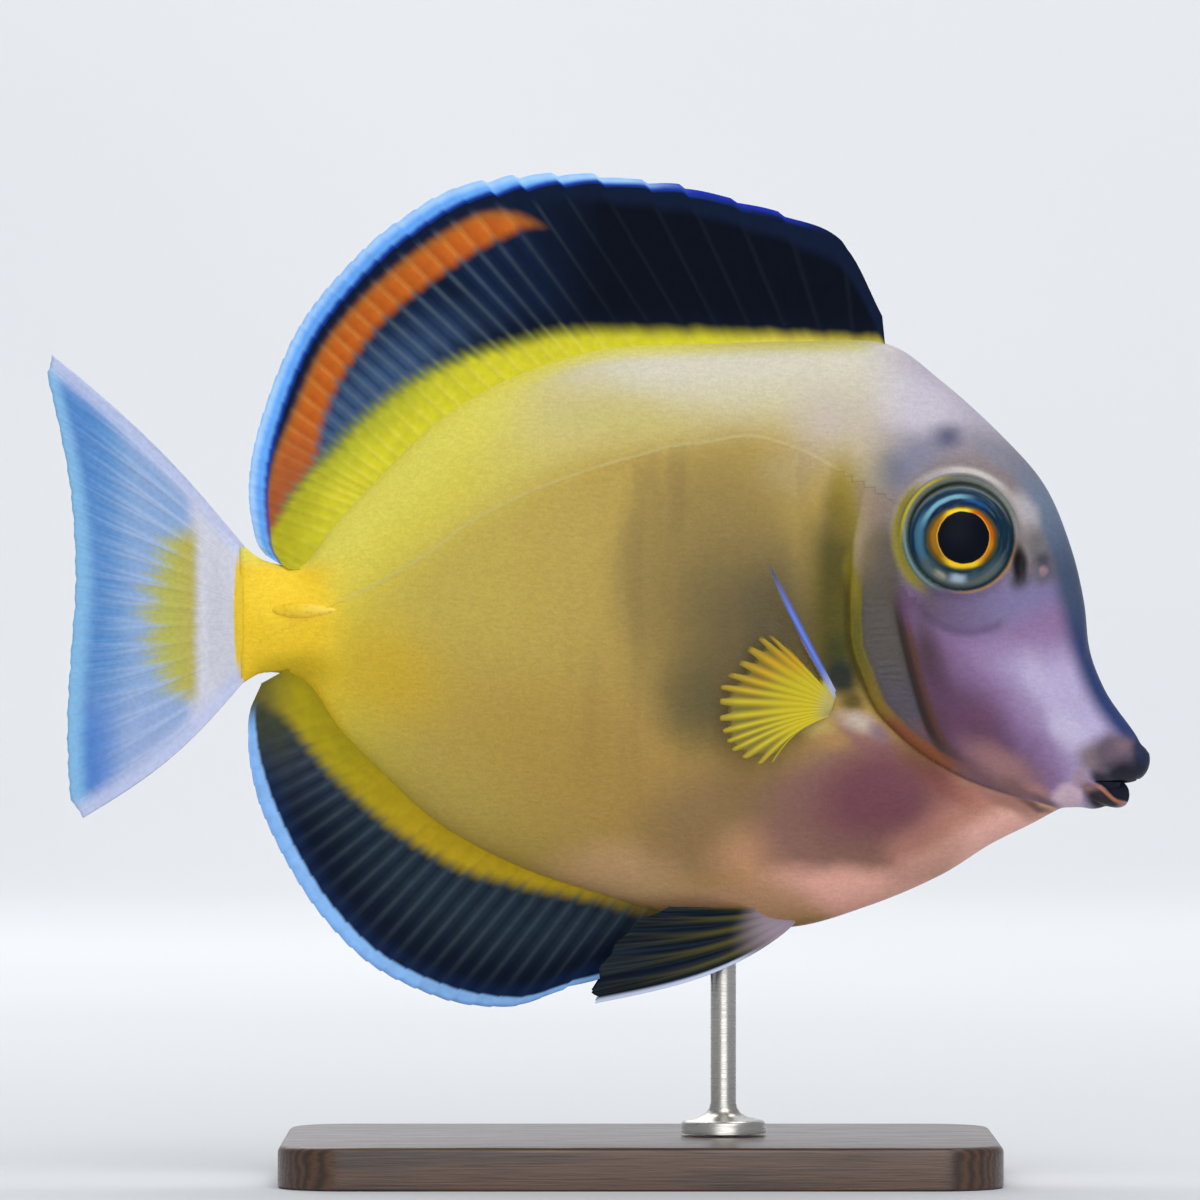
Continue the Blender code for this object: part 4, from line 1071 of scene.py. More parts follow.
class FISH_OT_eyes(bpy.types.Operator):
    """Builds the two eyeballs"""

    bl_idname = "fish_model.eyes"
    bl_label = "Eyes"

    def execute(self, context):
        finish = eye_finish(context.scene.fish_colours)
        for name, side in SIDES:
            middle, faces, turn = eye_frame(side)
            form = bmesh.new()
            bmesh.ops.create_uvsphere(form, u_segments=128, v_segments=96, radius=1)
            for vert in form.verts:
                flat = math.hypot(vert.co.x, vert.co.y)
                lens = 0.16 * max(0.0, 1 - (flat / 0.46) ** 2) if vert.co.z > 0 else 0.0
                vert.co.z = vert.co.z * EYE_DEPTH / EYE_RADIUS + lens * 0.2
            matrix = Matrix.Translation(middle) @ turn.to_4x4() @ Matrix.Scale(EYE_RADIUS * MM, 4)
            bmesh.ops.transform(form, matrix=matrix, verts=form.verts)
            piece = make_piece(f"eyeball_{name}", form, finish, (f"eye_{name}",), f"eye_{name}")
            offset = mesh_points(piece) - np.array(middle)
            up = np.array((0, 0, 1.0)) - faces.z * np.array(faces)
            up /= np.linalg.norm(up)
            ahead = np.cross(up, np.array(faces)) * -side
            ahead *= np.sign(ahead[0])
            mark(piece, "across", offset @ ahead / MM)
            mark(piece, "up", offset @ up / MM)
        return {"FINISHED"}


def last_ray(table):
    return int(table[-1][0])


def blade_form(table, per_space, rows):
    """A thin closed slab with even columns between a table's rays, and where each point lies on it."""
    spaces = last_ray(table)
    form = bmesh.new()
    bmesh.ops.create_grid(form, x_segments=per_space * spaces, y_segments=rows, size=0.5)
    made = bmesh.ops.extrude_face_region(form, geom=form.faces[:], use_keep_orig=True)["geom"]
    for vert in made:
        if isinstance(vert, bmesh.types.BMVert):
            vert.co.z = 1.0
    flat = get_points(form)
    ray = (flat[:, 0] + 0.5) * spaces
    return form, ray, flat[:, 1] + 0.5, np.where(flat[:, 2] > 0.5, 1.0, -1.0)


def bent_rays(root, tip, reach, bow):
    """Points on rays from root to tip that are bent sideways by bow, and each ray's length."""
    way = tip - root
    length = np.hypot(way[:, 0], way[:, 1])
    across = np.stack((way[:, 1], -way[:, 0]), axis=1) / length[:, None]
    return root + way * reach[:, None] + across * bow[:, None], length


def ray_ridge(ray, out, space, spines, width, fork=0.2):
    """How much a ray stands up here, from 0 on the web to 1. Soft rays fork towards the edge."""
    nearest = np.round(ray)
    offset = ray - nearest
    soft = nearest >= spines
    first = np.where(soft, fork * ease(out, 0.3, 0.95), 0.0)
    second = np.where(soft, fork / 2 * ease(out, 0.62, 1.0), 0.0)
    far = np.abs(np.abs(np.abs(offset) - first) - second)
    return bell(far * space, width * (1 - 0.5 * out))


def median_fin(table, column, spines, sway, edge_drop, rows, per_space):
    """A fin in the fish's middle plane. Returns its bmesh and what its colours follow, in mm."""
    form, ray, out, face = blade_form(table, per_space, rows)
    rung, tip_x, tip_z = smooth_rows(table, ray).T
    root = smooth_rows(RUNGS, rung)[:, column:column + 2]
    tip = np.stack((tip_x, tip_z), axis=1)
    way = tip - root
    length = np.hypot(way[:, 0], way[:, 1])
    frac = ray - np.floor(ray)
    drop = np.where(ray < spines, edge_drop, edge_drop * 0.28) * np.where(frac > 0, frac ** 1.5, 0.0)
    full = 1 - drop
    reach = -0.9 / length + out * (full + 0.9 / length)
    flat = root + way * reach[:, None]
    space = spacing(table, ray, out, column)
    ridge = ray_ridge(ray, out, space, spines, 0.32, 0.05)
    web = 0.34 + (0.11 - 0.34) * out + 0.9 * np.exp(-out * length / 1.1)
    half = web + ridge * np.where(ray < spines, 0.15, 0.11) * (1 - 0.65 * out)
    bow = sway * out ** 2 * np.sin(ray * 0.36)
    lay_points(form, flat[:, 0], bow + face * half, flat[:, 1])
    return form, {"ray_line": ridge, "to_edge": (full - reach) * length, "ray": ray, "out": out}


def spacing(table, ray, out, column):
    """Millimetres between two rays here."""
    low, high = smooth_rows(table, ray - 0.5), smooth_rows(table, ray + 0.5)
    ends = []
    for side in (low, high):
        root = smooth_rows(RUNGS, side[:, 0])[:, column:column + 2]
        ends.append(root + (side[:, 1:3] - root) * out[:, None])
    return np.maximum(np.hypot(*(ends[1] - ends[0]).T), 0.15)


def dark_web(fin, colour, spot, x, z, ray):
    """Feeds a dark fin's colour, with faint clouds, and fine ridges along its rays."""
    colour.shade(fin.noise(spot, 0.8, 3).ease(0.3, 0.7, 0.93, 1.06))
    bump = fin.bump(fin.noise(fin.join(ray * 4, z * 0.05, x * 0.05), 2, 1), 0.008 * MM)
    return fin.feed(Base_Color=colour, Normal=bump)


def dorsal_finish(colours):
    """Blue-black web with an orange band, a yellow base and a light blue rim."""
    fin = Finish("dorsal_web", roughness=0.55, specular=0.03)
    spot = fin.place()
    x, _, z = fin.split(spot)
    ray, line, edge, yellow, over, under = map(fin.attribute, (
        "ray", "ray_line", "to_edge", "yellow_top", "orange_top", "orange_low",
    ))
    streak = (fin.noise(fin.join(ray * 1, 0, 0), 1.9, 1) - 0.5) * 1.2
    drift = fin.noise(fin.join(ray * 0.35, z * 0.04, 0), 1, 2)
    behind = x.ease(2, -12)
    web = fin.blend(colours.fin_dark, (18, 36, 66), behind * drift.ease(0.35, 0.65, 0.5, 1))
    web.lay((62, 88, 126), yellow.ease(9, 1.5) * x.ease(-8, -26, 0, 0.9))
    web.lay((10, 18, 34), (yellow + streak).ease(3.6, 0.6) * x.ease(-24, -10, 0, 0.8))
    web.lay((96, 112, 120), line * x.ease(2, -22, 0.03, 0.45))
    web.lay((10, 16, 26), fin.between_rays(ray).ease(0.55, 1) * behind * 0.35)
    spread = x.ease(2, -16, 0.15, 0.7)
    tooth = yellow + streak * 0.6 - (fin.between_rays(ray) - 0.5) * spread
    blend = (tooth - line * x.ease(4, -10, 0, 0.9)).ease(1.3, -1.2)
    base = fin.blend(colours.fin_yellow, (222, 206, 84), line * 0.4)
    base.lay((228, 212, 78), x.ease(12, 24))
    base.lay((176, 176, 48), x.ease(-14, -24) * yellow.ease(-4.5, -0.5))
    base.lay((178, 172, 38), x.ease(-30, -38))
    base.lay((112, 128, 44), tooth.ease(-1.4, 0.6, 0, 0.75) * x.ease(6, -10))
    colour = fin.blend(web, base, blend)
    lower = under + z.ease(30, 12, 0, 1)
    band = (lower + streak * 0.5 - line * 0.4).ease(-0.6, 1.1) * (over - streak * 0.4).ease(0.7, -0.9)
    # Each orange web is painted darker from its ray back towards the next: painted shade of the pleated fin.
    orange = fin.blend(colours.fin_orange, (160, 74, 26), ray.maths("FRACT").ease(0.1, 0.95, 0, 0.6))
    orange.lay((206, 132, 62), line * 0.55)
    orange.lay((164, 88, 50), z.ease(26, 14))
    orange.lay((150, 100, 40), (over + 0.2).band(1.3, 0.1, 0.6))
    colour.lay(orange, band)
    colour.lay((14, 26, 50), edge.ease(4.6, 2.6) * over.ease(-1, 0.4))
    wide = x.ease(8, -22, 0.5, 1.8)
    rim = (edge - wide + streak * 0.2).ease(0.45, -0.25)
    colour.lay((26, 64, 170), (edge - wide - 0.3).band(0.5, 0.1, 0.7) * x.ease(24, 6))
    pale = fin.blend(colours.fin_margin, (168, 208, 255), edge.ease(1.3, 0.4, 0, 0.85))
    pale.lay((30, 50, 168), x.ease(2, 12))
    colour.lay(pale, rim * x.ease(28, 20))
    return dark_web(fin, colour, spot, x, z, ray)


def anal_finish(colours):
    """Blue-black web with a yellow base and a pale rim."""
    fin = Finish("anal_web", roughness=0.55, specular=0.03)
    spot = fin.place()
    x, _, z = fin.split(spot)
    ray, line, edge, yellow = map(fin.attribute, ("ray", "ray_line", "to_edge", "yellow_low"))
    streak = (fin.noise(fin.join(ray * 1, 0, 0), 1.9, 1) - 0.5) * 1.4 + line * 0.4
    web = fin.blend((34, 48, 62), (14, 24, 42), edge.ease(12, 4))
    web.lay((58, 68, 86), z.ease(-26, -12, 0, 0.7))
    web.lay((20, 42, 84), edge.ease(4.2, 1.8, 0, 0.6))
    web.lay((84, 98, 104), line * edge.ease(1.5, 8, 0.05, 0.3))
    web.lay((8, 14, 24), fin.between_rays(ray).ease(0.55, 1) * 0.35)
    blend = (yellow + streak * 0.6).ease(1.3, -0.9)
    base = fin.blend((184, 156, 32), (168, 152, 30), x.ease(-20, -32))
    web.lay((66, 70, 44), x.ease(-33, -38, 0, 0.8) * z.ease(-20, -11))
    blend = blend * x.ease(-40, -35, 0.25, 1)
    colour = fin.blend(web, base, blend * x.ease(7, -4, 0.35, 1))
    wide = x.ease(-2, -16, 0.8, 1.6) * z.ease(-9, -22, 0.45, 1)
    rim = (edge - wide + streak * 0.1).ease(0.4, -0.15)
    pale = fin.blend((140, 188, 244), colours.fin_margin, edge.ease(0.8, 0.1, 0, 0.6))
    pale.lay((176, 206, 250), edge.ease(0.5, 0, 0, 0.5))
    colour.lay(pale, rim * z.ease(-9, -13))
    return dark_web(fin, colour, spot, x, z, ray)


class FISH_OT_median_fins(bpy.types.Operator):
    """Builds the dorsal and anal fins"""

    bl_idname = "fish_model.median_fins"
    bl_label = "Dorsal and anal fins"

    def execute(self, context):
        colours = context.scene.fish_colours
        form, marks = median_fin(DORSAL, 0, DORSAL_SPINES, 0.9, 0.026, 44, 10)
        fin = make_piece("dorsal_web", form, dorsal_finish(colours), ("dorsal_fin",), "dorsal_fin", **marks)
        mark_lines(fin, yellow_top=DORSAL_YELLOW_TOP[::-1], orange_top=DORSAL_ORANGE_TOP[::-1],
                   orange_low=DORSAL_ORANGE_LOW[::-1])
        form, marks = median_fin(ANAL, 2, ANAL_SPINES, 0.8, 0.03, 40, 10)
        fin = make_piece("anal_web", form, anal_finish(colours), ("anal_fin",), "anal_fin", **marks)
        mark_lines(fin, yellow_low=ANAL_YELLOW_LOW[::-1])
        return {"FINISHED"}


def tail_finish(colours):
    """Sky-blue web between pale forked rays, a yellow bar, and a lavender rim."""
    fin = Finish("tail_web", roughness=0.45, specular=0.25)
    spot = fin.place()
    x, _, z = fin.split(spot)
    ray, line, edge, lobe, out = map(fin.attribute, ("ray", "ray_line", "to_edge", "to_lobe", "out"))
    fine = fin.noise(fin.join(ray * 1, out * 0.35, 0), 7, 2)
    web = fin.blend(colours.tail, (108, 158, 210), fine.ease(0.4, 0.7))
    web.lay((146, 172, 212), x.ease(-58.5, -53.5, 0, 0.75))
    web.lay((158, 174, 214), z.ease(-3, -15, 0, 0.55))
    web.lay((176, 194, 226), line * x.ease(-61, -50, 0.1, 0.55))
    web.lay((74, 128, 196), x.ease(-55, -61, 0, 0.6))
    web.lay((66, 122, 202), x.ease(-55, -60) * z.ease(-7, -14, 0, 0.75))
    web.lay((206, 206, 218), x.ease(-49, -46.5))
    ends = z.ease(12.4, 9) * z.ease(-10.6, -7.4)
    ragged = (fine - 0.5) * 6 + line * 1
    bowed = (z - 1) * (z - 1)
    narrow = bowed * 0.032
    bar = (x - ragged - narrow).ease(-55.6, -50.8) * (x + (fine - 0.5)).ease(-46.4, -48) * ends
    stripe = fin.blend(colours.tail_bar, (186, 168, 58), x.ease(-50.5, -47.5, 0, 0.7))
    web.lay(stripe, bar * 0.94)
    web.lay((228, 194, 40), (x - bowed * 0.008).ease(-42.9, -42.6))
    web.lay((134, 188, 228), edge.ease(3, 0.8, 0, 0.9))
    web.lay(colours.tail_rim, lobe.ease(3.6, 0.9, 0, 0.9))
    web.shade(fin.noise(spot, 1.8).ease(0.3, 0.7, 0.95, 1.05))
    return fin.feed(Base_Color=web, Normal=fin.bump(fine, 0.05 * MM))


class FISH_OT_tail(bpy.types.Operator):
    """Builds the tail fin"""

    bl_idname = "fish_model.tail"
    bl_label = "Tail fin"

    def execute(self, context):
        form, ray, out, face = blade_form(TAIL, 14, 64)
        tip = smooth_rows(TAIL, ray)
        share = ray / last_ray(TAIL)
        root = np.stack((np.full(ray.shape, TAIL_ROOT_X),
                         TAIL_ROOT_TOP_Z + (TAIL_ROOT_LOW_Z - TAIL_ROOT_TOP_Z) * share), axis=1)
        bow = (TAIL_BOW_TOP + (TAIL_BOW_LOW - TAIL_BOW_TOP) * share) * np.sin(np.pi * out)
        fray = 0.006 * (1 - np.abs(np.cos(np.pi * ray))) + 0.004 * np.abs(np.sin(ray * 7.3))
        flat, length = bent_rays(root, tip, out * (1 - fray), bow)
        space = 1.0 + 2.4 * out
        ridge = ray_ridge(ray, out, space, 0, 0.34)
        to_lobe = np.minimum(share, 1 - share) * last_ray(TAIL) * space
        rim = np.exp(-to_lobe / 1.2)
        stalk = 1.5 * np.sin(np.pi * np.clip(share, 0.05, 0.95)) ** 0.7 * (1 - ease(out, 0.0, 0.3))
        web = np.maximum(0.32 + (0.12 - 0.32) * out, stalk)
        half = web + (ridge * 0.13 * ease(out, 0.15, 0.5) + rim * 0.16) * (1 - 0.6 * out)
        lay_points(form, flat[:, 0], 1.4 * out ** 2 + face * half, flat[:, 1])
        make_piece("tail_web", form, tail_finish(context.scene.fish_colours), ("tail_fin",), "tail_fin",
                   ray=ray, out=out, ray_line=ridge, to_edge=(1 - out) * length, to_lobe=to_lobe)
        return {"FINISHED"}


def skin_surface():
    skin = bpy.data.objects.get("fish_skin")
    if skin is None:
        raise RuntimeError("build the skin first")
    return BVHTree.FromObject(skin, bpy.context.evaluated_depsgraph_get())


def skin_point(surface, x, z, side):
    """Where a line across the fish meets its skin, in the tables' millimetres."""
    found = surface.ray_cast(place(x, z, side * 50), Vector((0, -side, 0)))[0]
    if found is None:
        raise RuntimeError(f"no skin at {x}, {z}")
    return np.array((found.x / MM, found.y / MM, (found.z - AXIS_HEIGHT) / MM))


def pectoral_finish(colours):
    """A yellow fan of thick rays in a web that is clear towards its edge, with a blue leading ray."""
    fin = Finish("pectoral_web", roughness=0.45, specular=0.15)
    ray, line, out, inside, lead = map(fin.attribute, ("ray", "ray_line", "out", "fan_edge", "lead"))
    tips = inside.ease(5, 1.5) * ray.ease(12, 8)
    yellow = fin.blend(colours.pectoral, (204, 154, 30), tips * 0.8)
    yellow.lay((162, 140, 46), inside.ease(2.2, -0.4, 0, 0.8))
    yellow.lay((108, 96, 44), (1 - line) * out.ease(0.2, 0.75, 0, 0.95))
    yellow.lay((184, 172, 100), out.ease(0.2, 0.04))
    blue = lead.ease(1.15, 0.85)
    stripe = fin.blend((110, 130, 216), (76, 96, 172), abs(lead - 0.45).ease(0.1, 0.5))
    stripe.lay((168, 176, 208), out.ease(0.22, 0.06))
    stripe.lay((104, 104, 120), out.ease(0.6, 0.95))
    colour = fin.blend(yellow, stripe, blue)
    fan = (inside + line.ease(0.2, 0.7) * 1.4).ease(0.3, 1.1) * ray.ease(4.2, 4.7)
    stem = out.ease(0.2, 0.12)
    clear = blue * out.ease(1, 0.82)
    for part in (fan, stem):
        clear = clear.maths("MAXIMUM", part)
    bump = fin.bump(line, 0.05 * MM)
    return fin.feed(Base_Color=colour, Alpha=clear, Normal=bump)


class FISH_OT_pectorals(bpy.types.Operator):
    """Builds the pectoral fins"""

    bl_idname = "fish_model.pectorals"
    bl_label = "Pectoral fins"

    def execute(self, context):
        surface = skin_surface()
        finish = pectoral_finish(context.scene.fish_colours)
        for name, side in SIDES:
            upper, lower = (skin_point(surface, *at, side) for at in PECTORAL_ROOT)
            form, ray, out, face = blade_form(PECTORAL, 12, 48)
            share = ray / last_ray(PECTORAL)
            root = upper + (lower - upper) * share[:, None]
            off = np.abs(ray - np.round(ray))
            bow = 0.9 * share ** 4 * np.sin(np.pi * out)
            flat, _ = bent_rays(root[:, [0, 2]], smooth_rows(PECTORAL, ray), out * (1 - 0.04 * off), bow)
            cup = np.sin(np.pi * share) * 1.2 * out
            lift = 5.2 * (1 - (1 - out) ** 1.6) - cup
            space = 0.17 + 1.42 * out
            ridge = bell(off * space, 0.36)
            half = 0.24 + (0.08 - 0.24) * out + ridge * (0.2 - 0.06 * out)
            half += 0.75 * bell(out, 0.16) * np.sin(np.pi * np.clip(share, 0.08, 0.92))
            lay_points(form, flat[:, 0], root[:, 1] + side * (lift - 0.75) + face * half, flat[:, 1])
            node = f"pectoral_fin_{name}"
            piece = make_piece(f"pectoral_web_{name}", form, finish, (node,), node, ray=ray, out=out, ray_line=ridge,
                               lead=ray * space / (0.75 + 0.6 * np.sin(np.pi * out ** 0.8)))
            mark_lines(piece, fan_edge=PECTORAL_YELLOW_EDGE)
        return {"FINISHED"}


def pelvic_finish(colours):
    """Dark navy web with olive rays and a white leading rim."""
    fin = Finish("pelvic_web", roughness=0.55, specular=0.04)
    ray, line, out = map(fin.attribute, ("ray", "ray_line", "out"))
    fine = fin.noise(fin.join(ray, out * 0.3, 0), 5, 2)
    web = fin.blend((14, 24, 38), (32, 44, 56), fine.ease(0.4, 0.7))
    web.lay((104, 98, 44), line * out.ease(0.9, 0.2, 0.1, 0.75))
    web.lay((158, 142, 156), out.ease(0.34, 0.06))
    rim = ray.ease(0.5, 0.2) * out.ease(0.16, 0.35)
    web.lay((200, 210, 236), rim)
    bump = fin.bump(fine, 0.05 * MM)
    return fin.feed(Base_Color=web, Normal=bump)


class FISH_OT_pelvics(bpy.types.Operator):
    """Builds the pelvic fins"""

    bl_idname = "fish_model.pelvics"
    bl_label = "Pelvic fins"

    def execute(self, context):
        finish = pelvic_finish(context.scene.fish_colours)
        for name, side in SIDES:
            form, ray, out, face = blade_form(PELVIC, 18, 56)
            share = ray / last_ray(PELVIC)
            ends = smooth_rows(PELVIC, ray)
            off = np.abs(ray - np.round(ray))
            bow = -1.9 * (1 - share) * np.sin(np.pi * out ** 0.8)
            flat, _ = bent_rays(ends[:, :2], ends[:, 2:], out * (1 - 0.06 * off), bow)
            ridge = ray_ridge(ray, out, 0.2 + 2.0 * out, 1, 0.26)
            flare = 2.2 + 1.7 * share
            half = 0.36 + (0.12 - 0.36) * out + ridge * (0.18 - 0.12 * out)
            y = side * (1.9 + flare * np.sin(np.minimum(out * 1.3, 1.0) * np.pi / 2)) + face * half
            lay_points(form, flat[:, 0], y, flat[:, 1])
            node = f"pelvic_fin_{name}"
            make_piece(f"pelvic_web_{name}", form, finish, (node,), node, ray=ray, out=out, ray_line=ridge)
        return {"FINISHED"}


class FISH_OT_spines(bpy.types.Operator):
    """Builds the folded spine on each side of the tail stalk"""

    bl_idname = "fish_model.spines"
    bl_label = "Tail spines"

    def execute(self, context):
        surface = skin_surface()
        horn = Finish("spine_horn", roughness=0.4, specular=0.2)
        x, _, _ = horn.split(horn.place())
        # The spine is painted lighter towards its front tip: a painted highlight on its bulge.
        colour = horn.blend((244, 206, 52), (250, 218, 92), x.ease(-36, -31))
        colour.lay((232, 186, 40), horn.noise(horn.place(), 1.8, 2.0).ease(0.5, 0.75))
        horn.feed(Base_Color=colour)
        for name, side in SIDES:
            low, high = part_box(f"scalpel_{name}")
            middle = (Vector(low) + Vector(high)) / 2
            at_x, at_z = middle.x / MM, (middle.z - AXIS_HEIGHT) / MM
            ahead, behind = (Vector(skin_point(surface, at_x + d, at_z, side)) for d in (2, -2))
            turn = (ahead - behind).to_track_quat("X", "Z").to_matrix()
            centre = place(at_x, at_z, skin_point(surface, at_x, at_z, side)[1])
            form = bmesh.new()
            bmesh.ops.create_uvsphere(form, u_segments=32, v_segments=48, radius=1)
            for vert in form.verts:
                along = vert.co.z
                taper = 1.0 - 0.5 * max(along, 0.0)
                vert.co = (along * 4.0 * MM, vert.co.y * 0.8 * MM * taper, vert.co.x * 0.95 * MM * taper)
            bmesh.ops.transform(form, matrix=Matrix.Translation(centre) @ turn.to_4x4(), verts=form.verts)
            make_piece(f"tail_spine_{name}", form, horn.material, (f"scalpel_{name}",), f"scalpel_{name}")
        return {"FINISHED"}


def wood_finish(look):
    """Oiled dark wood, its grain along the fish."""
    wood = Finish("oiled_wood", roughness=0.35, coat=0.2, coat_roughness=0.2)
    spot = wood.place()
    stretched = wood.scaled(spot, 0.05, 0.7, 0.7)
    bend = wood.noise(wood.scaled(spot, 0.03, 0.12, 0.12), 1, 2)
    grain = wood.value("TexWave", {"wave_type": "BANDS", "bands_direction": "Y"}, out="Fac", Vector=stretched,
                       Scale=0.55, Distortion=5, Detail=3, Detail_Scale=1.2, Phase_Offset=bend * 8)
    pores = wood.noise(wood.scaled(spot, 0.12, 4, 4), 1, 3)
    colour = wood.blend(look.wood_dark, look.wood_light, grain * 0.7)
    colour.lay((30, 18, 12), pores.ease(0.56, 0.72, 0, 0.6))
    bump = wood.bump(pores, 0.05 * MM)
    rough = pores.ease(0.3, 0.7, 0.28, 0.46)
    return wood.feed(Base_Color=colour, Roughness=rough, Normal=bump)


def steel_finish(look):
    """Brushed steel, its fine scratches round the rod."""
    steel = Finish("brushed_steel", metallic=1)
    spot = steel.place()
    brushed = steel.noise(steel.scaled(spot, 0.4, 0.4, 14), 1, 3)
    colour = steel.blend(look.steel, (150, 149, 146), brushed.ease(0.4, 0.7, 0, 0.5))
    rough = brushed.ease(0.3, 0.7, 0.24, 0.4)
    return steel.feed(Base_Color=colour, Roughness=rough, Normal=steel.bump(brushed, 0.01 * MM))


class FISH_OT_stand(bpy.types.Operator):
    """Builds the display stand's base and rod"""

    bl_idname = "fish_model.stand"
    bl_label = "Display stand"

    def execute(self, context):
        look = context.scene.fish_stand
        low, high = (Vector(corner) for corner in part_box("stand_base"))
        form = bmesh.new()
        bmesh.ops.create_cube(form, size=1)
        bmesh.ops.scale(form, vec=high - low, verts=form.verts)
        bmesh.ops.translate(form, vec=(high + low) / 2, verts=form.verts)
        tall = [e for e in form.edges if abs(e.verts[0].co.z - e.verts[1].co.z) > 1 * MM]
        self.bevel(form, tall, look.corner, 16)
        top = [e for e in form.edges if min(v.co.z for v in e.verts) > high.z - 0.1 * MM]
        self.bevel(form, top, look.bevel, 5)
        foot = [e for e in form.edges if max(v.co.z for v in e.verts) < low.z + 0.01 * MM]
        self.bevel(form, foot, look.foot_bevel, 1)
        base = make_piece("stand_wood_base", form, wood_finish(look), ("stand_base",), "stand_base")
        base.data.set_sharp_from_angle(angle=math.radians(35))

        low, high = (Vector(corner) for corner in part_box("stand_rod"))
        foot = (high.x - low.x) / 2 / MM
        top = (high.z - low.z) / MM + 0.5
        profile = ((0, top), (1.5, top), (1.5, 3.6), (1.65, 2.9), (2.1, 2.3), (2.9, 1.9), (foot - 0.8, 1.6),
                   (foot - 0.3, 1.45), (foot, 1.1), (foot, 0), (0, 0))
        form = bmesh.new()
        line = [form.verts.new((radius * MM, 0, low.z + z * MM)) for radius, z in profile]
        edges = [form.edges.new(pair) for pair in zip(line, line[1:])]
        bmesh.ops.spin(form, geom=line + edges, cent=(0, 0, 0), axis=(0, 0, 1), angle=2 * math.pi, steps=64,
                       use_merge=True)
        bmesh.ops.remove_doubles(form, verts=form.verts, dist=0.001 * MM)
        bmesh.ops.translate(form, vec=((low.x + high.x) / 2, 0, 0), verts=form.verts)
        rod = make_piece("stand_steel_rod", form, steel_finish(look), ("stand_rod",), "stand_rod")
        rod.data.set_sharp_from_angle(angle=math.radians(50))
        return {"FINISHED"}

    def bevel(self, form, edges, offset, segments):
        bmesh.ops.bevel(form, geom=edges, offset=offset, segments=segments, profile=0.5, affect="EDGES", material=-1)


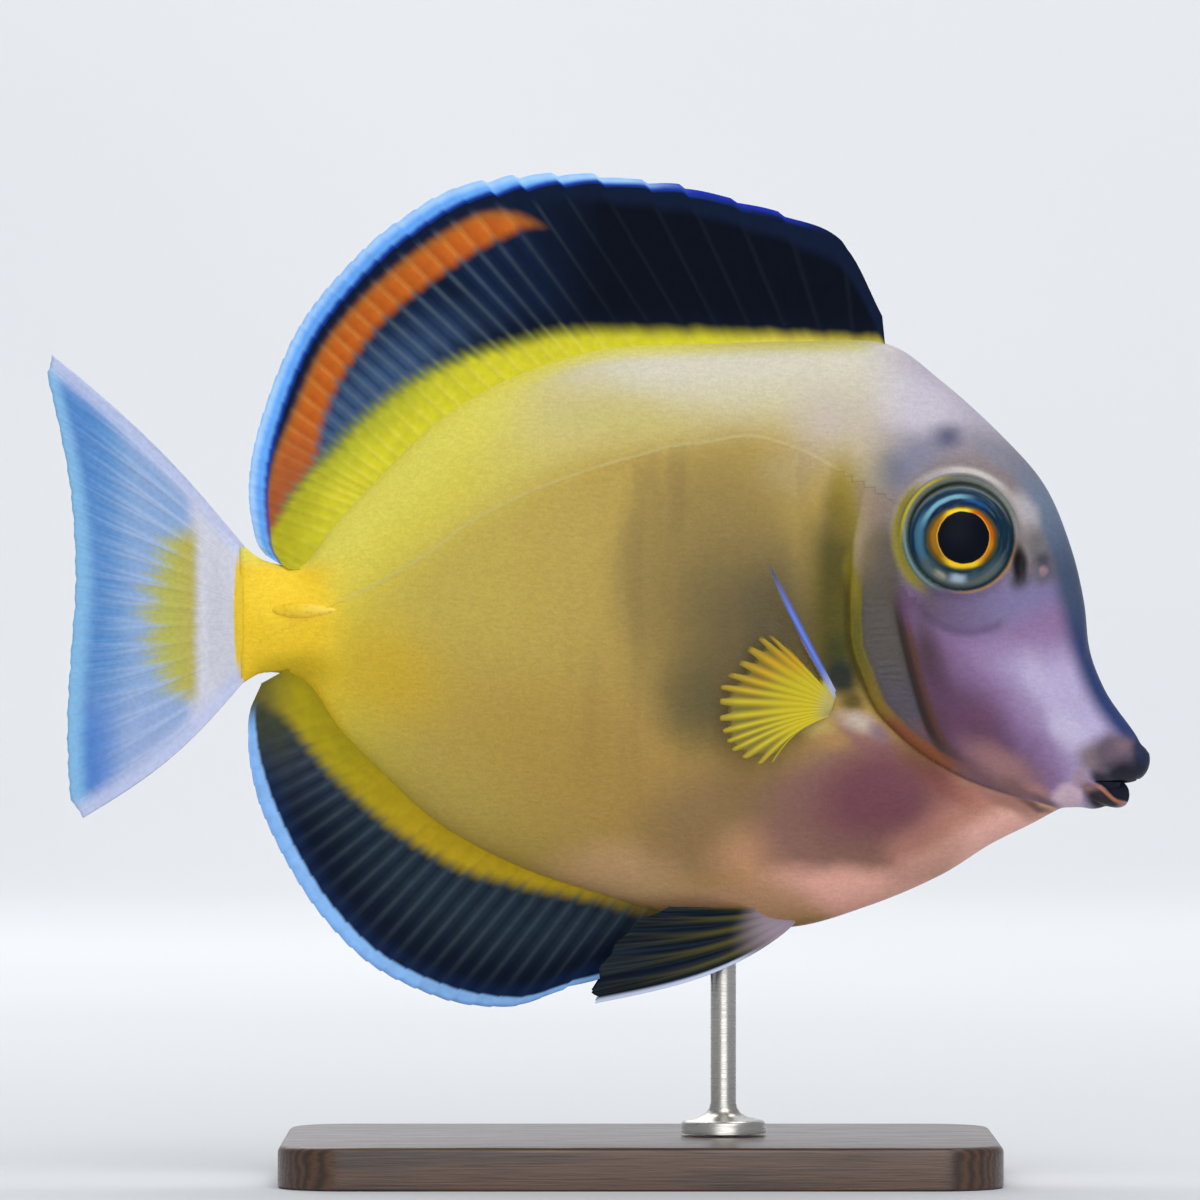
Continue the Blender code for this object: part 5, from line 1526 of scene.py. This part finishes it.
class FISH_OT_stage(bpy.types.Operator):
    """Sets up the floor with its curved backdrop, the lights and the camera"""

    bl_idname = "fish_model.stage"
    bl_label = "Stage"

    def execute(self, context):
        look = context.scene.fish_stage
        plain = Finish("studio_paper", roughness=0.85, specular=0.2)
        wash = plain.blend(look.floor, (206, 209, 213), plain.noise(plain.place(), 0.004, 1.0))
        plain.feed(Base_Color=wash)
        form = bmesh.new()
        line = [form.verts.new((-3.0, -3.0, 0.0))]
        bend, radius = 1.2, 0.8
        for k in range(17):
            angle = k / 16 * math.pi / 2
            line.append(form.verts.new((-3.0, bend + radius * math.sin(angle), radius - radius * math.cos(angle))))
        line.append(form.verts.new((-3.0, bend + radius, 4.0)))
        edges = [form.edges.new(pair) for pair in zip(line, line[1:])]
        made = bmesh.ops.extrude_edge_only(form, edges=edges)["geom"]
        bmesh.ops.translate(form, verts=[v for v in made if isinstance(v, bmesh.types.BMVert)], vec=(6.0, 0, 0))
        floor = add_object("studio_floor", form, plain.material)

        target = place(2.0, 2.0)
        self.area_light(context, "key", (0.15, -0.45, 0.95), target, look.key_power, 0.7)
        self.area_light(context, "fill", (0.1, -1.0, 0.25), target, look.fill_power, 0.9)
        self.area_light(context, "back", (-0.3, 0.8, 0.7), target, look.key_power * 0.5, 0.6)
        self.area_light(context, "backdrop", (0.0, 0.9, 1.6), Vector((0.0, 2.0, 0.2)), look.backdrop_power, 1.2)
        world = bpy.data.worlds.new("studio_air")
        world.use_nodes = True
        world.node_tree.nodes["Background"].inputs["Color"].default_value = (0.95, 0.97, 1.0, 1.0)
        world.node_tree.nodes["Background"].inputs["Strength"].default_value = 0.4
        context.scene.world = world
        context.scene.view_settings.view_transform = "Standard"

        lens = bpy.data.cameras.new("camera")
        lens.sensor_width = 36.0
        lens.lens = 36.0 * look.camera_distance / look.view_width
        camera = bpy.data.objects.new("camera", lens)
        camera.location = (0.294 * MM, -look.camera_distance, 67.99 * MM)
        camera.rotation_euler = (math.pi / 2, 0, 0)
        context.scene.collection.objects.link(camera)
        context.scene.camera = camera
        return {"FINISHED"}

    def area_light(self, context, name, at, target, power, size):
        light = bpy.data.lights.new(name, "AREA")
        light.energy = power
        light.size = size
        lamp = bpy.data.objects.new(name, light)
        lamp.location = at
        lamp.rotation_euler = (target - Vector(at)).to_track_quat("-Z", "Y").to_euler()
        context.scene.collection.objects.link(lamp)


OPERATORS = (
    FISH_OT_skin, FISH_OT_eyes, FISH_OT_median_fins, FISH_OT_tail, FISH_OT_pectorals, FISH_OT_pelvics,
    FISH_OT_spines, FISH_OT_stand, FISH_OT_stage,
)
SETTINGS = (
    ("fish_shape", FishShape), ("fish_colours", FishColours), ("fish_stand", StandLook), ("fish_stage", StageLook),
)


class FISH_PT_model(bpy.types.Panel):
    bl_label = "Surgeonfish model"
    bl_space_type = "VIEW_3D"
    bl_region_type = "UI"
    bl_category = "Fish model"

    def draw(self, context):
        for operator in OPERATORS:
            self.layout.operator(operator.bl_idname)
        for name, group in SETTINGS:
            box = self.layout.box()
            for setting in group.__annotations__:
                box.prop(getattr(context.scene, name), setting)


def register():
    for _, group in SETTINGS:
        bpy.utils.register_class(group)
    for name, group in SETTINGS:
        setattr(bpy.types.Scene, name, PointerProperty(type=group))
    for operator in OPERATORS:
        bpy.utils.register_class(operator)
    bpy.utils.register_class(FISH_PT_model)


def unregister():
    bpy.utils.unregister_class(FISH_PT_model)
    for operator in reversed(OPERATORS):
        bpy.utils.unregister_class(operator)
    for name, group in SETTINGS:
        delattr(bpy.types.Scene, name)
        bpy.utils.unregister_class(group)


def main():
    register()
    bpy.ops.fish_model.skin()
    bpy.ops.fish_model.eyes()
    bpy.ops.fish_model.median_fins()
    bpy.ops.fish_model.tail()
    bpy.ops.fish_model.pectorals()
    bpy.ops.fish_model.pelvics()
    bpy.ops.fish_model.spines()
    bpy.ops.fish_model.stand()
    bpy.ops.fish_model.stage()


if __name__ == "__main__":
    main()
